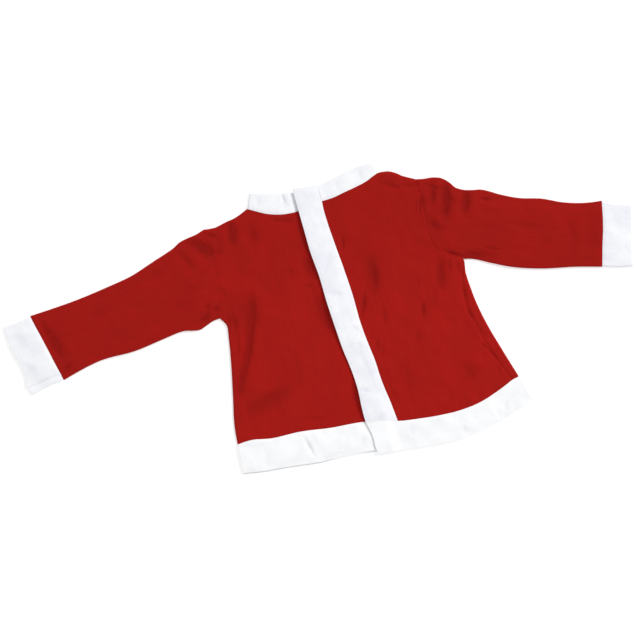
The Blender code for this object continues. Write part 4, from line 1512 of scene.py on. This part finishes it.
def jersey_material():
    material, tree, shader = new_material("red_jersey_knit")
    grain = add(tree, "UVMap", {}, uv_map="grain").outputs[0]
    split = add(tree, "SeparateXYZ", {0: grain})
    wale = sums(tree, "FRACT", sums(tree, "DIVIDE", split.outputs[0], WALE))
    course = sums(tree, "DIVIDE", split.outputs[1], COURSE)
    side = sums(tree, "MULTIPLY", sums(tree, "ABSOLUTE", sums(tree, "SUBTRACT", wale, 0.5)), 2.0)
    yarn = hump(tree, sums(tree, "FRACT", sums(tree, "MULTIPLY_ADD", side, SLANT, course)))
    leg = sums(tree, "SQRT", sums(tree, "MAXIMUM", hump(tree, side), 0.0))
    stitch = sums(tree, "MULTIPLY", yarn, leg)

    streak_map = add(tree, "Mapping", {"Vector": grain, "Scale": STREAKS}).outputs[0]
    place = add(tree, "TexCoord", {}).outputs["Object"]
    clouds = noise(tree, place, scale=26.0, detail=3.0)
    fuzz = noise(tree, place, scale=900.0, detail=2.0, roughness=0.7)
    streaks = noise(tree, streak_map, scale=1.0, detail=3.0)
    shade = 1.0
    for value, depth, rest in (
        (streaks, 0.20, 0.90),
        (clouds, 0.22, 0.89),
        (stitch, 0.30, 0.84),
        (fuzz, 0.16, 0.92),
        # painted shade: darker on pieces, and on the body's upper part, that lay in less light
        (painted(tree, "piece_shade"), -0.07, 1.0),
        # painted shade: darker in the creases
        (painted(tree, "crease_shade"), -0.27, 1.0),
    ):
        shade = sums(tree, "MULTIPLY", shade, sums(tree, "MULTIPLY_ADD", value, depth, rest))
    grey = add(tree, "CombineXYZ", {0: shade, 1: shade, 2: shade}).outputs[0]
    values = {"Factor": 1.0, "A": JERSEY_RED, "B": grey}
    colour = add(tree, "Mix", values, data_type="RGBA", blend_type="MULTIPLY")
    put(tree, shader, {
        "Base Color": colour.outputs["Result"],
        "Normal": bumps(tree, fuzz, stitch, strength=0.55, distance=0.00016),
        "Roughness": sums(tree, "MULTIPLY_ADD", clouds, 0.12, 0.82),
        "Specular IOR Level": 0.10,
        "Sheen Weight": 0.10,
        "Sheen Roughness": 0.5,
        "Sheen Tint": FUZZ_RED,
    })
    return material


jersey = jersey_material()
print(jersey.name, "nodes:", len(jersey.node_tree.nodes))

# %% [markdown]
# ## White fleece
#
# Fleece is knitted and then brushed, so its face is a short nap with no threads to see. Hair would be
# the truest way, but a nap this short shows no single hairs. Two sizes of noise do the work: a coarse
# one for the clumps that brushing leaves, and a fine one for the fibres. White is never paper white:
# it is a pale grey with a little blue. Painted shade makes the creases, and the pieces that lay in
# less light, greyer and bluer.

# %% Fleece
# the grey that random mottling and painted shade mix towards
FLEECE_MOTTLE_AND_SHADE = (0.82, 0.825, 0.90, 1.0)
FLEECE_WHITE = (0.975, 0.98, 0.99, 1.0)


def fleece_material():
    material, tree, shader = new_material("white_brushed_fleece")
    place = add(tree, "TexCoord", {}).outputs["Object"]
    clumps = noise(tree, place, scale=420.0, detail=3.0, roughness=0.6)
    fibres = noise(tree, place, scale=2400.0, detail=2.0, roughness=0.7)
    clouds = noise(tree, place, scale=60.0, detail=3.0, roughness=0.55)
    mixed = 0.95
    for value, weight in (
        # painted shade: greyer and bluer on pieces that lay in less light
        (painted(tree, "piece_shade"), -0.55),
        # painted shade: greyer and bluer in the creases
        (painted(tree, "crease_shade"), -1.2),
        (sums(tree, "SUBTRACT", clouds, 0.5), 1.3),
        (sums(tree, "SUBTRACT", clumps, 0.5), 0.5),
    ):
        mixed = sums(tree, "MULTIPLY_ADD", value, weight, mixed)
    values = {"Factor": mixed, "A": FLEECE_MOTTLE_AND_SHADE, "B": FLEECE_WHITE}
    colour = add(tree, "Mix", values, data_type="RGBA", blend_type="MIX")
    put(tree, shader, {
        "Base Color": colour.outputs["Result"],
        "Normal": bumps(tree, fibres, clumps, strength=0.35, distance=0.0006),
        "Roughness": 0.95,
        "Specular IOR Level": 0.15,
        "Sheen Weight": 0.25,
        "Sheen Roughness": 0.6,
    })
    return material


fleece = fleece_material()
for piece in PIECES.values():
    piece.data.materials.append(jersey if piece.name.endswith("_cloth") else fleece)
print(fleece.name, "nodes:", len(fleece.node_tree.nodes))

# %% [markdown]
# ## What each piece stands for
#
# Every shell hides the solid that it was made on. The table also gives the flat size of what shows of
# each piece, in metres: its width and length, and its area where it isn't a rectangle, and the pieces
# that it rests on; of these, only the names are read here. A tube's width is all round it. The sizes
# could be read from the meshes, but those hold the folds and both sides of the wall.

# %% Sheets
SHEETS = (
    ("front_right", (0.147, 0.241), 0.0281, ["back"]),
    ("front_left", (0.139, 0.252), 0.0255, ["back"]),
    ("back", (0.298, 0.252), 0.0571, []),
    ("sleeve_right", (0.184, 0.192), 0.0266, []),
    ("sleeve_left", (0.184, 0.178), 0.0242, []),
    ("cuff_right", (0.146, 0.031), None, []),
    ("cuff_left", (0.138, 0.031), None, []),
    ("collar", (0.290, 0.017), None, ["front_right", "front_left"]),
    ("placket", (0.027, 0.246), None, ["front_right"]),
    ("hem_front_right", (0.152, 0.030), None, ["hem_back"]),
    ("hem_front_left", (0.170, 0.030), None, ["hem_back"]),
    ("hem_back", (0.302, 0.030), None, []),
)
for solid, flat, area, rests_on in SHEETS:
    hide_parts(solid)
print("sheets:", len(SHEETS))

# %% [markdown]
# ## Floor, light and camera
#
# The jacket lies on a plain white surface and is seen straight from above, turned a little. A small
# lamp would draw hard shadows, and an even sky alone would hide the folds. So one broad soft light
# from the upper right models them, and the sky keeps the shadows open. The floor glows a little, so
# that it stays white where the light falls off.

# %% Stage
TURN = math.radians(15.0)
VIEW_CENTRE = (-13.25 * MM, 9.99 * MM)
VIEW_WIDTH = 0.634
LENS = 85.0
SENSOR = 36.0
FLOOR_SIZE = 6.0
FLOOR_DROP = 0.0002
LIGHT_PLACE = (5.2, 4.6, 6.4)
LIGHT_SIZE = 3.1
LIGHT_POWER = 480.0
SKY_STRENGTH = 0.64
WHITE = (1.0, 1.0, 1.0, 1.0)
right_way = Vector((math.cos(-TURN), math.sin(-TURN), 0.0))
up_way = Vector((-math.sin(-TURN), math.cos(-TURN), 0.0))

bpy.ops.mesh.primitive_plane_add(size=FLOOR_SIZE, location=(0.0, 0.0, -FLOOR_DROP))
floor = bpy.context.object
floor.name = "floor"
paper, paper_tree, paper_shader = new_material("white_paper")
put(paper_tree, paper_shader, {
    "Base Color": (0.75, 0.75, 0.75, 1.0),
    "Roughness": 0.9,
    "Specular IOR Level": 0.0,
    "Emission Color": WHITE,
    "Emission Strength": 0.42,
})
floor.data.materials.append(paper)

to_right, to_top, up = LIGHT_PLACE
light_place = right_way * to_right + up_way * to_top + Vector((0.0, 0.0, up))
lamp = bpy.data.lights.new("key", "AREA")
lamp.energy = LIGHT_POWER
lamp.size = LIGHT_SIZE
key = bpy.data.objects.new("key", lamp)
bpy.context.scene.collection.objects.link(key)
key.location = light_place
key.rotation_euler = (-light_place).to_track_quat("-Z", "Y").to_euler()

sky = bpy.data.worlds.new("sky")
bpy.context.scene.world = sky
sky.use_nodes = True
put(sky.node_tree, sky.node_tree.nodes["Background"], {"Color": WHITE, "Strength": SKY_STRENGTH})

lens = bpy.data.cameras.new("camera")
lens.lens = LENS
lens.sensor_width = SENSOR
camera = bpy.data.objects.new("camera", lens)
bpy.context.scene.collection.objects.link(camera)
camera.location = (*VIEW_CENTRE, VIEW_WIDTH * LENS / SENSOR)
camera.rotation_euler = (0.0, 0.0, -TURN)
bpy.context.scene.camera = camera
bpy.context.scene.view_settings.view_transform = "Standard"
print("camera height in m:", round(camera.location.z, 3))
